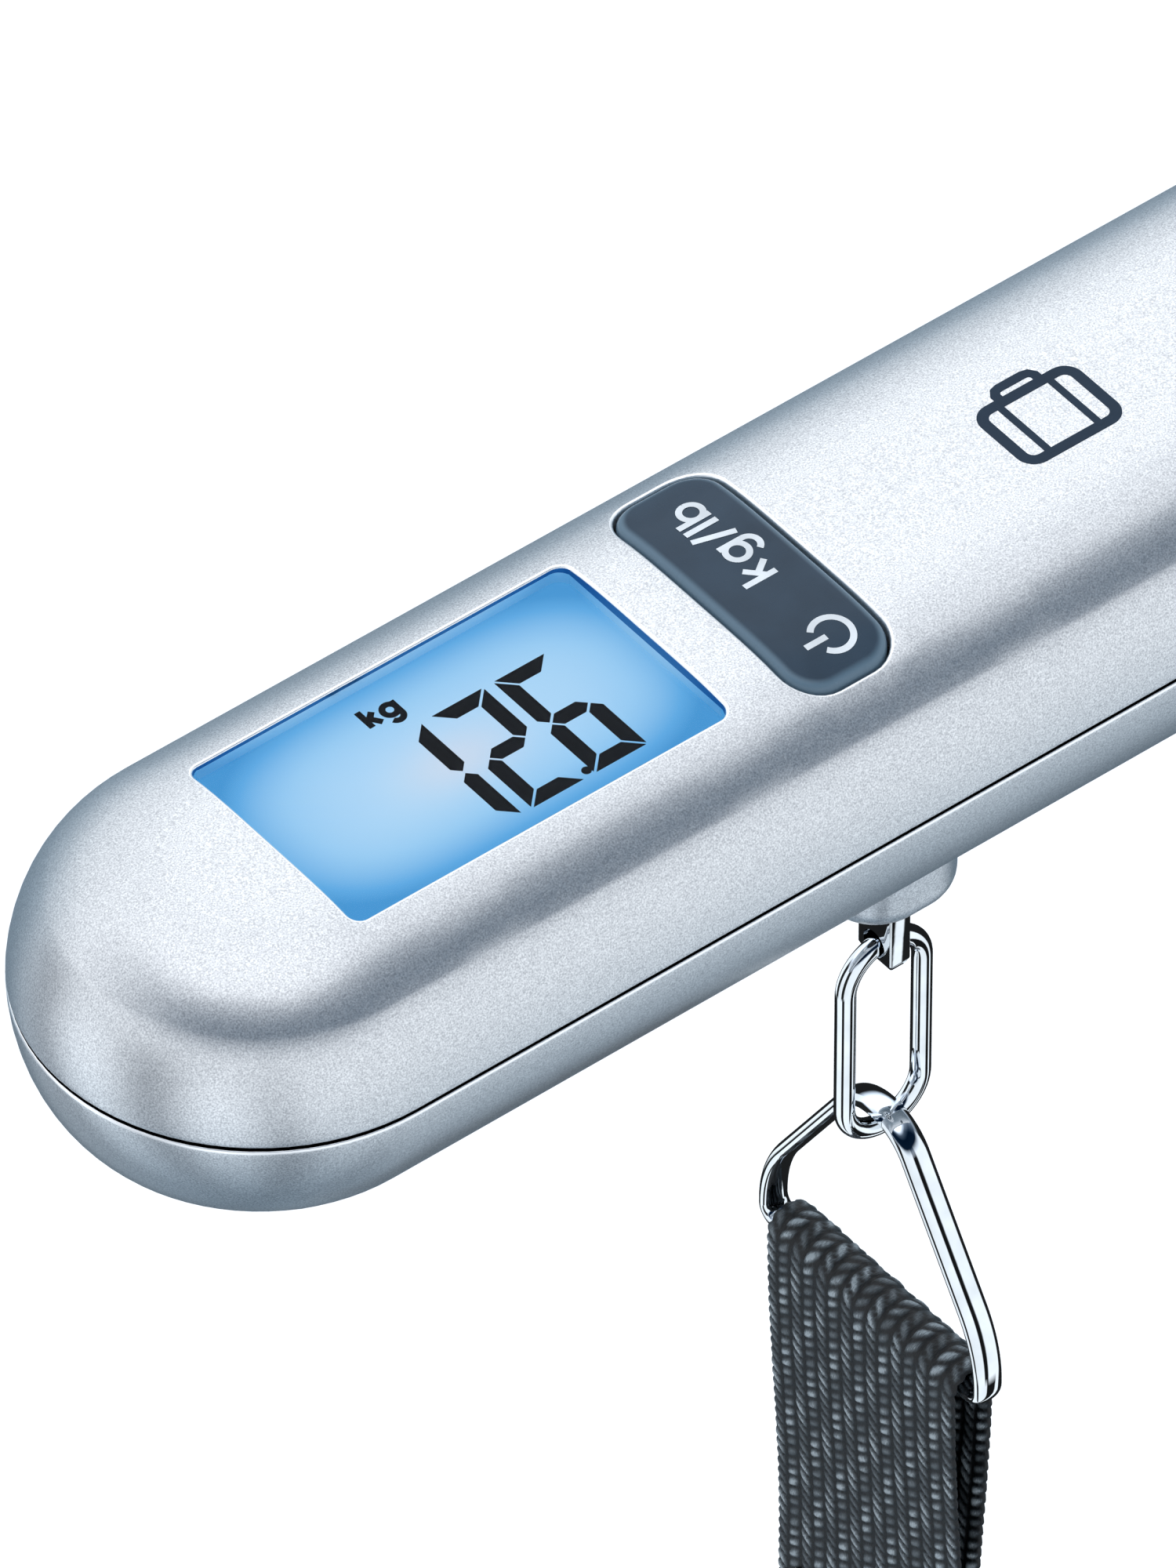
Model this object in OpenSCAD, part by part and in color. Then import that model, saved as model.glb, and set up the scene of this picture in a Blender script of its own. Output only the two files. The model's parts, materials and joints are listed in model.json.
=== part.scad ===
// Hand-held digital luggage scale with a strap and a snap hook.
//
// Frame: millimetres, +Z up. The origin is the middle of the casing, on the
// seam between its two shells and on the axis of the pull post.
// +X runs along the casing away from the display, the display end is at -X.
// The link, the ring, the strap and the hook hang straight down from the post.

/* [Casing] */
// Overall length of the casing
body_len = 150; // [146:1:160]
// Overall width of the casing, also the diameter of its round ends
body_w = 36; // [36:0.5:38]
// Height of the crown above the seam
top_h = 11.9; // [11.8:0.1:12.3]
// Depth of the belly below the seam
belly_h = 13; // [12.9:0.1:13.5]
// Power of the cross-section across the casing, where 2 would be an ellipse
across_power = 4.2; // [4.1:0.1:4.6]
// Power of the cross-section up and down
up_power = 1.8; // [1.75:0.05:2]
// Wall thickness of both shells
wall = 1.8; // [1.6:0.1:1.9]
// Open line between the two shells
seam_gap = 0.3; // [0.1:0.1:0.4]

/* [Display] */
// Length of the display window
window_len = 33.7; // [30:0.1:34]
// Width of the display window
window_w = 19.3; // [17:0.1:19.4]
// Middle of the display window along the casing
window_x = -39.05; // [-39.5:0.05:-38.5]

/* [Rocker key] */
// Size of the key along the casing
key_len = 8.7; // [8:0.1:9]
// Size of the key across the casing
key_w = 23.3; // [22:0.1:23.5]
// Middle of the key along the casing
key_x = -12.65; // [-12.8:0.05:-12.5]
// Gap around the key
key_gap = 0.3; // [0.25:0.05:0.4]
// How far the key stands above the crown
key_proud = 0.15; // [0.1:0.05:0.4]

/* [Load cell] */
// Length of the bending beam
cell_len = 54; // [52:1:56]
// Width of the bending beam
cell_w = 12; // [10:1:12]
// Height of the bending beam
cell_h = 8; // [7:0.5:8]

/* [Pull post] */
// Thickness of the post along the casing
post_t = 1.9; // [1.8:0.1:2.4]
// Width of the post across the casing
post_w = 3.8; // [3.8:0.1:4.2]
// Lowest point of the post below the seam
post_drop = 34.5; // [34.3:0.1:35.5]
// Lowest face of the boss below the seam
boss_drop = 27.6; // [27:0.1:28.2]

/* [Link and ring] */
// Wire diameter of the oval link
link_wire = 1.6; // [1.4:0.1:1.6]
// Outer height of the oval link
link_h = 20.5; // [19:0.5:24]
// Outer width of the oval link
link_w = 8.7; // [8.5:0.1:9.5]
// Thickness of the triangular ring's flat wire in the ring's own plane
ring_t = 1.3; // [1.2:0.1:1.4]
// Depth of the triangular ring's flat wire along the casing
ring_depth = 2.5; // [2.3:0.1:2.6]
// Height of the triangular ring between its wire centres
ring_h = 20.8; // [20.8:0.1:24]

/* [Strap] */
// Width of the webbing
strap_w = 22; // [20:1:22]
// Thickness of the webbing
strap_t = 0.9; // [0.8:0.1:1.2]
// Length of the hanging strap from bar centre to bar centre
strap_len = 180; // [160:5:260]
// Doubled length below the upper bar, down to the end of the sewn overlap
upper_overlap = 56; // [50:1:60]
// Doubled length above the lower bar, up to the end of the sewn overlap
lower_overlap = 36; // [30:1:40]

/* [Snap hook] */
// Wire diameter of the swivel eye
eye_wire = 2.3; // [2.1:0.1:2.4]
// Radius of the hook's bowl
bowl_r = 7.1; // [6.8:0.1:7.3]
// Width of the hook's flat arms
hook_arm = 5; // [4.5:0.1:5.2]
// Thickness of the hook
hook_t = 5; // [4.6:0.1:5]

/* [Hidden] */

$fn = 48;
eps = 0.01;
section_steps = 14;

// Casing
body_r = body_w / 2;
straight_len = body_len - body_w;
inner_top = top_h - wall;
inner_belly = belly_h - wall;
lip_t = 0.85;
lip_h = 1.0;
lip_slack = 0.1;

// Case screws, two in the ends and a pair beside the middle
case_screw_places = [[-68, 0], [67, 0], [20, 11.5], [20, -11.5]];
case_boss_r = 2.7;
case_screw_r = 1.15;
case_head_r = 2.3;
case_head_z = -7.5;
case_head_h = 1.6;
case_screw_top = 6;

// Display stack, from the lens down to the board
lens_top = 11.1;
lens_flange_z = 9.7;
lens_slack = 0.2;
glass_len = 36;
glass_w = 21;
glass_top = 9.3;
glass_bottom = 7.5;
guide_len = 33.2;
guide_w = 16.4;
guide_bottom = 4.7;
holder_wall = 1.35;
holder_top = 8.2;
pcb_top = 4.4;
pcb_t = 1.2;
pcb_bottom = pcb_top - pcb_t;

// Rocker key and silicone mat
key_corner = 2.8;
key_base_z = 7.6;
axle_z = 8.4;
axle_r = 0.7;
axle_len = 11.9;
axle_clearance = 0.08;
lug_t = 0.9;
lug_x = 5.5;
dome_y = 8;
dome_top = 7.15;
mat_base_t = 0.8;

// Circuit board
pcb_left = -64;
pcb_right = -1;
pcb_half_w = 12.5;
pcb_notch_x = -5.5;
pcb_notch_y = 5.5;
pcb_screw_places = [[-61.5, 9.5], [-61.5, -9.5], [-3.5, 9.5], [-3.5, -9.5]];

// Battery bay
battery_x = -43.5;
coin_r = 10;
coin_t = 3.2;
coin_bottom = -9.4;
coin_top = coin_bottom + coin_t;
holder_floor = -8.6;
holder_roof = -4.9;
door_len = 25;
door_w = 21.6;
door_gap = 0.25;
door_t = 1.4;

// Load cell, chassis and post
cell_x0 = -8;
cell_top = 0;
cell_screw_x = [33, 41];
cell_waist_x = [15, 24];
waist_r = 2.6;
gauge_t = 0.15;
plate_x0 = 28;
plate_x1 = 62;
plate_half_w = 13.4;
plate_t = 1.5;
plate_screw_places = [[31, 10.6], [31, -10.6], [58.5, 10.6], [58.5, -10.6]];
stud_r = 2;
post_hole_r = 1.2;
post_hole_z = -post_drop + 1.75;
collar_r = 3.5;
collar_t = 1.4;
washer_t = 0.6;
nut_h = 3.2;
boss_len = 10.9;
boss_w = 9;
bushing_r = 3.2;

// Hanging chain, every height worked out from the one above it
hang_gap = 0.08;
link_r = link_wire / 2;
link_bend = link_w / 2 - link_r;
link_sag = link_bend - sqrt(link_bend * link_bend - post_t * post_t / 4);
link_top_z = post_hole_z - post_hole_r + link_r + link_sag + hang_gap;
link_bottom_z = link_top_z - link_h + link_wire;
ring_r = ring_t / 2;
ring_flat = ring_depth / 2 - ring_r;
// the ring's flat wire slides round the inside of the link's lower bend
ring_slide_z = link_bottom_z + link_bend;
ring_slide_r = link_bend - link_r - ring_r - hang_gap;
ring_apex_z = ring_slide_z - sqrt(ring_slide_r * ring_slide_r - ring_flat * ring_flat);
ring_bar_z = ring_apex_z - ring_h;
bar_bend = 1.3;
bar_half = strap_w / 2 + 0.2;
ring_half = bar_half + bar_bend;
ring_lean = 32.5;
peak_bend = 4.6;
peak_z = ring_apex_z + peak_bend * (1 / sin(ring_lean) - 1);
shoulder_bend = 12;
shoulder_z = peak_z - ring_half / tan(ring_lean);
loop_in = ring_depth / 2 + 0.07;
loop_out = loop_in + strap_t;
upper_meet = 32;
lower_meet = 14;
eye_z = ring_bar_z - strap_len;

// Swivel eye and snap hook, measured down from the eye's bar
eye_r = eye_wire / 2;
eye_half = bar_half + 1.8;
eye_corner = 1.8;
eye_side_z = -5.5;
eye_foot_y = 4;
eye_foot_z = -12.1;
eye_bend = 2.4;
stem_r = 1.9;
stem_end = -23;
head_r = 3;
head_t = 1.5;
barrel_r = 4.4;
barrel_top = -14;
barrel_bottom = -25.5;
barrel_bore_r = 2;
barrel_cup_r = 3.3;
bowl_z = -50;
pivot_y = 8.6;
pivot_z = -27;
lug_r = 3;
pin_r = 0.9;
pin_clearance = 0.06;
nose_z = -41;
gate_tip_y = 5.1;
gate_tip_z = -41.8;
gate_half_w = 3.7;
cheek_t = 1;
gate_bar = 3;

// ---------------------------------------------------------------- helpers

// Half of the casing's cross-section: radius across, height up.
function section_points(a, b, base) = concat(
    [[0, base], [a, base]],
    [for (i = [1:section_steps])
        let (t = 90 * i / section_steps)
        [a * pow(cos(t), 2 / across_power), b * pow(sin(t), 2 / up_power)]]);

// A bar with round ends: the half profile turned at both ends and extruded
// along X between them.
module round_ended(straight) {
    for (side = [0, 1])
        mirror([side, 0, 0])
            translate([straight / 2, 0, 0])
                rotate([0, 0, -90])
                    rotate_extrude(angle = 180) children();
    rotate([90, 0, 90])
        linear_extrude(straight, center = true) {
            children();
            mirror([1, 0]) children();
        }
}

module casing_form(height, shrink, base) {
    round_ended(straight_len)
        polygon(section_points(body_r - shrink, height - shrink, base));
}

// Only the straight middle of the casing form, as long as needed.
module crown_bar(len, height, grow, base) {
    rotate([90, 0, 90])
        linear_extrude(len, center = true)
            for (side = [0, 1])
                mirror([side, 0])
                    polygon(section_points(body_r + grow, height + grow, base));
}

// A plate with rounded corners, standing on z = 0.
module rounded_plate(len, wid, r, h) {
    linear_extrude(h) {
        square([len - 2 * r, wid], center = true);
        square([len, wid - 2 * r], center = true);
        for (x = [-1, 1], y = [-1, 1])
            translate([x * (len / 2 - r), y * (wid / 2 - r)]) circle(r);
    }
}

module at(places) {
    for (p = places) translate([p[0], p[1], 0]) children();
}

// Section of a wire of radius r, stretched upwards by flat to either side.
module wire_section(r, flat) {
    if (flat > 0) {
        for (y = [-flat, flat]) translate([0, y]) circle(r, $fn = 32);
        square([2 * r, 2 * flat], center = true);
    } else circle(r, $fn = 32);
}

// Cover over the end of a bend, a hair thicker than the wire.
module wire_cover(r, flat) {
    cover_r = 1.03 * r;
    for (z = flat > 0 ? [-flat, flat] : [0])
        translate([0, 0, z]) sphere(cover_r, $fn = 32);
    if (flat > 0) translate([0, 0, -flat]) cylinder(2 * flat, cover_r, cover_r, $fn = 32);
}

// Closed wire with rounded corners [x, y, bend], listed counter-clockwise, in XY.
module wire_loop(corners, r, flat = 0) {
    n = len(corners);
    function place(i) = [corners[i % n][0], corners[i % n][1]];
    function heading(i) = let (d = place(i + 1) - place(i)) atan2(d[1], d[0]);
    function turn(i) = (heading(i) - heading(i + n - 1) + 720) % 360;
    function setback(i) = corners[i % n][2] * tan(turn(i) / 2);
    for (i = [0:n - 1]) {
        bend = corners[i][2];
        run = norm(place(i + 1) - place(i)) - setback(i) - setback(i + 1);
        translate(concat(place(i), 0))
            rotate([0, 0, heading(i + n - 1)])
                translate([-setback(i), bend, 0])
                    rotate([0, 0, -90]) {
                        rotate_extrude(angle = turn(i)) translate([bend, 0]) wire_section(r, flat);
                        for (a = run > eps ? [0, turn(i)] : [0])
                            rotate([0, 0, a]) translate([bend, 0, 0]) wire_cover(r, flat);
                    }
        if (run > eps)
            translate(concat(place(i), 0))
                rotate([0, 0, heading(i)])
                    translate([setback(i), 0, 0])
                        rotate([90, 0, 90]) linear_extrude(run) wire_section(r, flat);
    }
}

// Turns a shape drawn in XY so that X points along +Y and Y points up.
module stand_yz() {
    rotate([90, 0, 90]) children();
}

// Turns a shape drawn in XY so that it stands in the XZ plane.
module stand_xz() {
    rotate([90, 0, 0]) children();
}

// Thin lead along a cubic curve between four points.
lead_sides = 8;
lead_rings = 14;
function curve_point(p, t) =
    pow(1 - t, 3) * p[0] + 3 * t * pow(1 - t, 2) * p[1]
    + 3 * t * t * (1 - t) * p[2] + pow(t, 3) * p[3];
function curve_dir(p, t) =
    let (d = 3 * pow(1 - t, 2) * (p[1] - p[0]) + 6 * t * (1 - t) * (p[2] - p[1])
        + 3 * t * t * (p[3] - p[2]))
    d / norm(d);
module lead(p, r) {
    rings = [for (i = [0:lead_rings])
        let (t = i / lead_rings, c = curve_point(p, t), d = curve_dir(p, t),
            u0 = cross(d, [0, 1, 0]), u = u0 / norm(u0), v = cross(d, u))
        [for (k = [0:lead_sides - 1])
            let (a = 360 * k / lead_sides) c + r * (cos(a) * u + sin(a) * v)]];
    points = [for (ring = rings) for (q = ring) q];
    sides = [for (i = [0:lead_rings - 1]) for (k = [0:lead_sides - 1])
        let (j = (k + 1) % lead_sides, a = i * lead_sides, b = a + lead_sides)
        [a + k, a + j, b + j, b + k]];
    first = [[for (k = [lead_sides - 1:-1:0]) k]];
    last = [[for (k = [0:lead_sides - 1]) lead_rings * lead_sides + k]];
    polyhedron(points, concat(first, sides, last));
}

// Machine screw standing with its head's underside at z = 0, head up.
module screw(shank_r, shank_len, head_r, head_h) {
    difference() {
        union() {
            translate([0, 0, -shank_len]) cylinder(shank_len + eps, shank_r, shank_r);
            cylinder(head_h, head_r, head_r * 0.85);
        }
        for (a = [0, 90])
            rotate([0, 0, a])
                translate([-head_r * 0.55, -head_r * 0.12, head_h * 0.45])
                    cube([head_r * 1.1, head_r * 0.24, head_h]);
    }
}

// ---------------------------------------------------------------- casing

module upper_shell() {
    window_h = top_h + 1;
    color("silver")
        difference() {
            union() {
                difference() {
                    casing_form(top_h, 0, seam_gap / 2);
                    casing_form(top_h, wall, -1);
                }
                at(case_screw_places)
                    translate([0, 0, seam_gap / 2]) cylinder(7.8, case_boss_r, case_boss_r);
                at(pcb_screw_places)
                    translate([0, 0, pcb_top]) cylinder(8.9 - pcb_top, 2.2, 2.2);
                for (side = [-1, 1])
                    translate([key_x + side * lug_x - lug_t / 2, -1.8, axle_z - 1.4])
                        cube([lug_t, 3.6, inner_top - axle_z + 1.6]);
            }
            // rebate that takes the lower shell's lip
            round_ended(straight_len)
                translate([body_r - wall - 0.4, 0])
                    square([0.4 + lip_t + lip_slack, lip_h + lip_slack]);
            // display window, with a pocket for the lens flange and the glass
            translate([window_x, 0, 0]) rounded_plate(window_len, window_w, 1, window_h);
            translate([window_x, 0, 5])
                rounded_plate(glass_len + 0.4, glass_w + 0.4, 0.5, lens_flange_z - 5);
            // key opening
            translate([key_x, 0, 0])
                rounded_plate(key_len + 2 * key_gap, key_w + 2 * key_gap,
                    key_corner + key_gap, window_h);
            at(case_screw_places) cylinder(7, case_screw_r + 0.02, case_screw_r + 0.02);
            at(pcb_screw_places) cylinder(8.2, 0.82, 0.82);
            // bore of the key's axle
            translate([key_x - axle_len, 0, axle_z])
                rotate([0, 90, 0])
                    cylinder(2 * axle_len, axle_r + axle_clearance, axle_r + axle_clearance);
        }
}

module belly_form(shrink, base) {
    mirror([0, 0, 1]) casing_form(belly_h, shrink, base);
}

// Half profile of the boss: a straight side, a rounded foot and a flared root.
boss_foot_r = 2.2;
boss_flare_r = 3.6;
module boss_profile() {
    r = boss_w / 2;
    root_z = -belly_h + 0.6;
    foot = [for (a = [-90:15:0])
        [r - boss_foot_r + boss_foot_r * cos(a),
            -boss_drop + boss_foot_r + boss_foot_r * sin(a)]];
    flare = [for (a = [180:-15:90])
        [r + boss_flare_r + boss_flare_r * cos(a),
            root_z - boss_flare_r + boss_flare_r * sin(a)]];
    polygon(concat([[0, -boss_drop]], foot, flare, [[0, root_z]]));
}

module lower_shell() {
    color("silver")
        difference() {
            union() {
                difference() {
                    union() {
                        belly_form(0, seam_gap / 2);
                        round_ended(boss_len - boss_w) boss_profile();
                    }
                    belly_form(wall, -2);
                }
                round_ended(straight_len)
                    translate([body_r - wall, -1]) square([lip_t, 1 + lip_h]);
                at(case_screw_places)
                    translate([0, 0, case_head_z - 2.2])
                        cylinder(-seam_gap / 2 - case_head_z + 2.2, case_boss_r, case_boss_r);
                at(plate_screw_places)
                    translate([0, 0, -9.6]) cylinder(9.6, 2.6, 2.6);
            }
            // the seam stays open outside the lip
            at(case_screw_places) {
                translate([0, 0, -belly_h]) cylinder(belly_h, case_screw_r + 0.1, case_screw_r + 0.1);
                translate([0, 0, -belly_h - 1])
                    cylinder(belly_h + 1 + case_head_z, case_head_r + 0.3, case_head_r + 0.3);
            }
            at(plate_screw_places)
                translate([0, 0, -6.5]) cylinder(7, 1.02, 1.02);
            // opening of the battery bay
            translate([battery_x, 0, -belly_h - 1])
                rounded_plate(door_len + 2 * door_gap, door_w + 2 * door_gap,
                    1.5, belly_h - 6);
            // bore of the boss, wide for the bushing and for the post's collar
            translate([0, 0, -boss_drop - 1]) cylinder(boss_drop, bushing_r, bushing_r);
        }
}

module case_screws() {
    color("lightgray")
        at(case_screw_places)
            translate([0, 0, case_head_z])
                mirror([0, 0, 1])
                    screw(case_screw_r, case_screw_top - case_head_z, case_head_r, case_head_h);
}

// Sleeve that steadies the post where it leaves the boss.
module boss_bushing() {
    color("dimgray")
        difference() {
            translate([0, 0, -boss_drop + 0.3]) cylinder(9, bushing_r, bushing_r);
            translate([0, 0, -boss_drop])
                rounded_plate(post_t + 0.5, post_w + 0.5, 0.2, 10);
        }
}

// ---------------------------------------------------------------- display

module display_lens() {
    color("lightskyblue")
        translate([window_x, 0, 0])
            union() {
                translate([0, 0, lens_flange_z - eps])
                    rounded_plate(window_len - lens_slack, window_w - lens_slack,
                        0.9, lens_top - lens_flange_z + eps);
                translate([0, 0, glass_top])
                    rounded_plate(glass_len, glass_w, 0.4, lens_flange_z - glass_top);
            }
}

module lcd_glass() {
    color("steelblue")
        translate([window_x, 0, 0])
            union() {
                translate([0, 0, glass_bottom])
                    linear_extrude(0.9) square([glass_len, glass_w], center = true);
                // the upper plate is shorter and leaves a contact ledge below
                translate([0, 0, glass_bottom + 0.9 - eps])
                    linear_extrude(glass_top - glass_bottom - 0.9 + eps)
                        square([glass_len, glass_w], center = true);
            }
}

module backlight_guide() {
    color("aliceblue")
        translate([window_x + 0.9, -2.1, guide_bottom])
            difference() {
                rounded_plate(guide_len, guide_w, 0.3, glass_bottom - guide_bottom);
                // shallow light-mixing grooves in the underside
                for (i = [-7:7])
                    translate([i * 2, 0, -0.15]) cube([0.5, guide_w - 3, 0.6], center = true);
            }
}

module reflector_sheet() {
    color("white")
        translate([window_x + 0.9, -2.1, pcb_top])
            linear_extrude(guide_bottom - pcb_top)
                square([guide_len, guide_w], center = true);
}

module backlight_leds() {
    color("lightyellow")
        for (y = [-6.5, 2.3])
            translate([window_x - 17.4, y - 1.6, pcb_top]) cube([1.5, 3.2, 1.9]);
}

module lcd_holder() {
    color("white")
        translate([window_x, 0, pcb_top])
            difference() {
                rounded_plate(glass_len + 0.3 + 2 * holder_wall, glass_w + 0.3 + 2 * holder_wall,
                    0.8, holder_top - pcb_top);
                translate([0, 0, -1])
                    rounded_plate(glass_len + 0.3, glass_w + 0.3, 0.3, 6);
            }
}

module zebra_strip() {
    color("dimgray")
        translate([window_x, 8.6, pcb_top])
            linear_extrude(glass_bottom - pcb_top) square([33, 2.2], center = true);
}

// ---------------------------------------------------------------- key

module rocker_key() {
    hollow_z = 10.2;
    color("darkslategray")
        union() {
            difference() {
                intersection() {
                    translate([key_x, 0, key_base_z])
                        rounded_plate(key_len, key_w, key_corner, top_h);
                    translate([key_x, 0, 0]) crown_bar(key_len + 2, top_h, key_proud, 1);
                }
                translate([key_x, 0, key_base_z - 1])
                    rounded_plate(key_len - 2.4, key_w - 5, key_corner - 1.2,
                        hollow_z - key_base_z + 1);
            }
            translate([key_x - axle_len / 2, 0, axle_z])
                rotate([0, 90, 0]) cylinder(axle_len, axle_r, axle_r);
            translate([key_x - 3.4, -0.9, key_base_z]) cube([6.8, 1.8, 3]);
            for (y = [-dome_y, dome_y])
                translate([key_x, y, dome_top + 0.05])
                    cylinder(hollow_z - dome_top, 1.7, 1.7);
        }
}

module keypad_mat() {
    color("gray")
        translate([key_x, 0, pcb_top])
            union() {
                rounded_plate(10.4, 23.2, 1.5, mat_base_t);
                for (y = [-dome_y, dome_y])
                    translate([0, y, mat_base_t - eps])
                        cylinder(dome_top - pcb_top - mat_base_t + eps, 3.4, 2.1);
            }
}

// ---------------------------------------------------------------- board

module main_pcb() {
    color("darkgreen")
        difference() {
            translate([(pcb_left + pcb_right) / 2, 0, pcb_bottom])
                rounded_plate(pcb_right - pcb_left, 2 * pcb_half_w, 2, pcb_t);
            translate([pcb_notch_x, -pcb_notch_y, 0]) cube([10, 2 * pcb_notch_y, 10]);
            at(pcb_screw_places) cylinder(10, 0.95, 0.95);
        }
}

module pcb_screws() {
    color("lightgray")
        at(pcb_screw_places)
            translate([0, 0, pcb_bottom])
                mirror([0, 0, 1]) screw(0.8, 4.6, 1.6, 1);
}

module controller_blob() {
    color("black")
        translate([-49, 0, pcb_bottom])
            mirror([0, 0, 1])
                rotate_extrude()
                    polygon(concat([[0, 0]], [for (a = [0:15:90]) [5 * cos(a), 1.3 * sin(a)]]));
}

module pcb_components() {
    module under(x, y, l, w, h) {
        translate([x - l / 2, y - w / 2, pcb_bottom - h]) cube([l, w, h]);
    }
    color("dimgray") {
        under(-27, 0, 5, 4, 1.5);
        under(-36, 7, 3.2, 1.6, 0.8);
        for (i = [0:3]) under(-58 + 4 * i, 8.5, 2, 1.25, 0.6);
        for (i = [0:2]) under(-20 + 3.5 * i, -8, 2, 1.25, 0.6);
    }
    color("silver")
        translate([-33, -7, pcb_bottom - 1])
            rotate([0, 90, 0]) cylinder(6, 1, 1);
}

// ---------------------------------------------------------------- battery

module battery_holder() {
    cup_r = coin_r + 1.4;
    color("dimgray")
        translate([battery_x, 0, 0])
            difference() {
                translate([0, 0, holder_floor]) cylinder(holder_roof - holder_floor, cup_r, cup_r);
                translate([0, 0, holder_floor - 1])
                    cylinder(coin_top + 0.5 - holder_floor + 1, coin_r + 0.2, coin_r + 0.2);
                // slot for the side contact and hole for the rivet
                translate([coin_r - 0.6, -3.3, holder_floor - 1]) cube([3, 6.6, 6]);
                translate([0, 0, holder_floor]) cylinder(5, 0.75, 0.75);
            }
}

module coin_cell() {
    color("silver")
        translate([battery_x, 0, coin_bottom])
            rotate_extrude()
                polygon([[0, 0], [9.4, 0], [coin_r, 0.6], [coin_r, 2.9],
                    [9.7, 2.9], [9.2, coin_t], [0, coin_t]]);
}

module contact_negative() {
    color("gold")
        translate([battery_x, 0, 0])
            union() {
                translate([-7, -1.5, coin_top + 0.2]) cube([14, 3, 0.25]);
                for (x = [-5.5, 5.5])
                    translate([x, 0, coin_top]) cylinder(0.25, 0.9, 1.2);
                translate([0, 0, coin_top + 0.3]) cylinder(-4.2 - coin_top - 0.3, 0.7, 0.7);
            }
}

module contact_positive() {
    plate_x = battery_x + coin_r + 0.35;
    color("gold")
        union() {
            translate([plate_x, -2.8, -8.8]) cube([0.3, 5.6, 4.3]);
            translate([plate_x, -2.8, -4.8]) cube([3.2, 5.6, 0.3]);
            translate([plate_x - 0.3, 0, -7.6])
                rotate([0, 90, 0]) cylinder(0.4, 0.5, 1);
        }
}

module battery_leads() {
    color("firebrick")
        lead([[battery_x + coin_r + 2.6, 0, -4.4], [-30, 0, -1], [-28, 4, 0], [-29, 4.5, 3.1]], 0.5);
    color("black")
        lead([[battery_x, 0, -4.2], [-43.5, 0, -1], [-39, -5, 0], [-39.5, -5, 3.1]], 0.5);
}

module battery_door() {
    edge_x = battery_x + door_len / 2;
    color("silver")
        union() {
            intersection() {
                translate([battery_x, 0, -belly_h - 1])
                    rounded_plate(door_len, door_w, 1.25, belly_h);
                difference() {
                    translate([battery_x, 0, 0])
                        mirror([0, 0, 1]) crown_bar(door_len + 2, belly_h, 0, 0);
                    translate([battery_x, 0, 0])
                        mirror([0, 0, 1]) crown_bar(door_len + 4, belly_h, -door_t, -2);
                }
            }
            // two tabs hook behind the casing's edge
            for (y = [-5, 5]) {
                translate([edge_x - 1.6, y - 1.5, -inner_belly - 0.6]) cube([1.2, 3, 1.7]);
                translate([edge_x - 1.6, y - 1.5, -inner_belly + 0.3]) cube([2.6, 3, 0.8]);
            }
            // the latch tongue at the other end
            translate([battery_x - door_len / 2 + 0.1, -3, -inner_belly - 0.6])
                cube([0.8, 6, 2.4]);
        }
}

// ---------------------------------------------------------------- load cell

module load_cell() {
    mid_z = cell_top - cell_h / 2;
    color("lightgray")
        difference() {
            translate([cell_x0, -cell_w / 2, cell_top - cell_h]) cube([cell_len, cell_w, cell_h]);
            // double bore that makes the two thin bending waists
            for (x = cell_waist_x)
                translate([x, -cell_w, mid_z])
                    rotate([-90, 0, 0]) cylinder(2 * cell_w, waist_r, waist_r);
            translate([cell_waist_x[0], -cell_w, mid_z - 1])
                cube([cell_waist_x[1] - cell_waist_x[0], 2 * cell_w, 2]);
            translate([0, 0, cell_top - cell_h - 1]) cylinder(cell_h + 2, stud_r + 0.2, stud_r + 0.2);
            for (x = cell_screw_x)
                translate([x, 0, cell_top - cell_h - 1]) cylinder(cell_h + 2, 1.75, 1.75);
        }
}

module strain_gauges() {
    color("goldenrod") {
        for (x = cell_waist_x) {
            translate([x - 2.2, -1.7, cell_top]) cube([4.4, 3.4, gauge_t]);
            translate([x - 2.2, -1.7, cell_top - cell_h - gauge_t]) cube([4.4, 3.4, gauge_t]);
        }
        translate([7.4, -4.4, cell_top]) cube([3.4, 8.8, 0.4]);
    }
}

module gauge_leads() {
    colours = ["firebrick", "black", "green", "white"];
    for (i = [0:3]) {
        side = i < 2 ? 1 : -1;
        y0 = side * (i % 2 == 0 ? 1.2 : 3.4);
        y1 = side * (i % 2 == 0 ? 5.4 : 6.7);
        color(colours[i])
            lead([[9, y0, 0.9], [3, y1, 1.6], [-3, y1, 2.6], [-9.5, y1, 2.75]], 0.4);
    }
}

module chassis_plate() {
    mid_x = (plate_x0 + plate_x1) / 2;
    color("slategray")
        difference() {
            translate([mid_x, 0, 0])
                rounded_plate(plate_x1 - plate_x0, 2 * plate_half_w, 3, plate_t);
            for (x = cell_screw_x) translate([x, 0, -1]) cylinder(4, 2.2, 2.2);
            at(plate_screw_places) translate([0, 0, -1]) cylinder(4, 1.3, 1.3);
            translate([52, 0, -1]) rounded_plate(9, 12, 2, 4);
        }
}

module load_cell_screws() {
    color("lightgray")
        for (x = cell_screw_x)
            translate([x, 0, plate_t]) screw(1.7, plate_t + 6.5, 3.4, 2.4);
}

module chassis_screws() {
    color("lightgray")
        at(plate_screw_places) translate([0, 0, plate_t]) screw(1, plate_t + 6, 2, 1.3);
}

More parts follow.
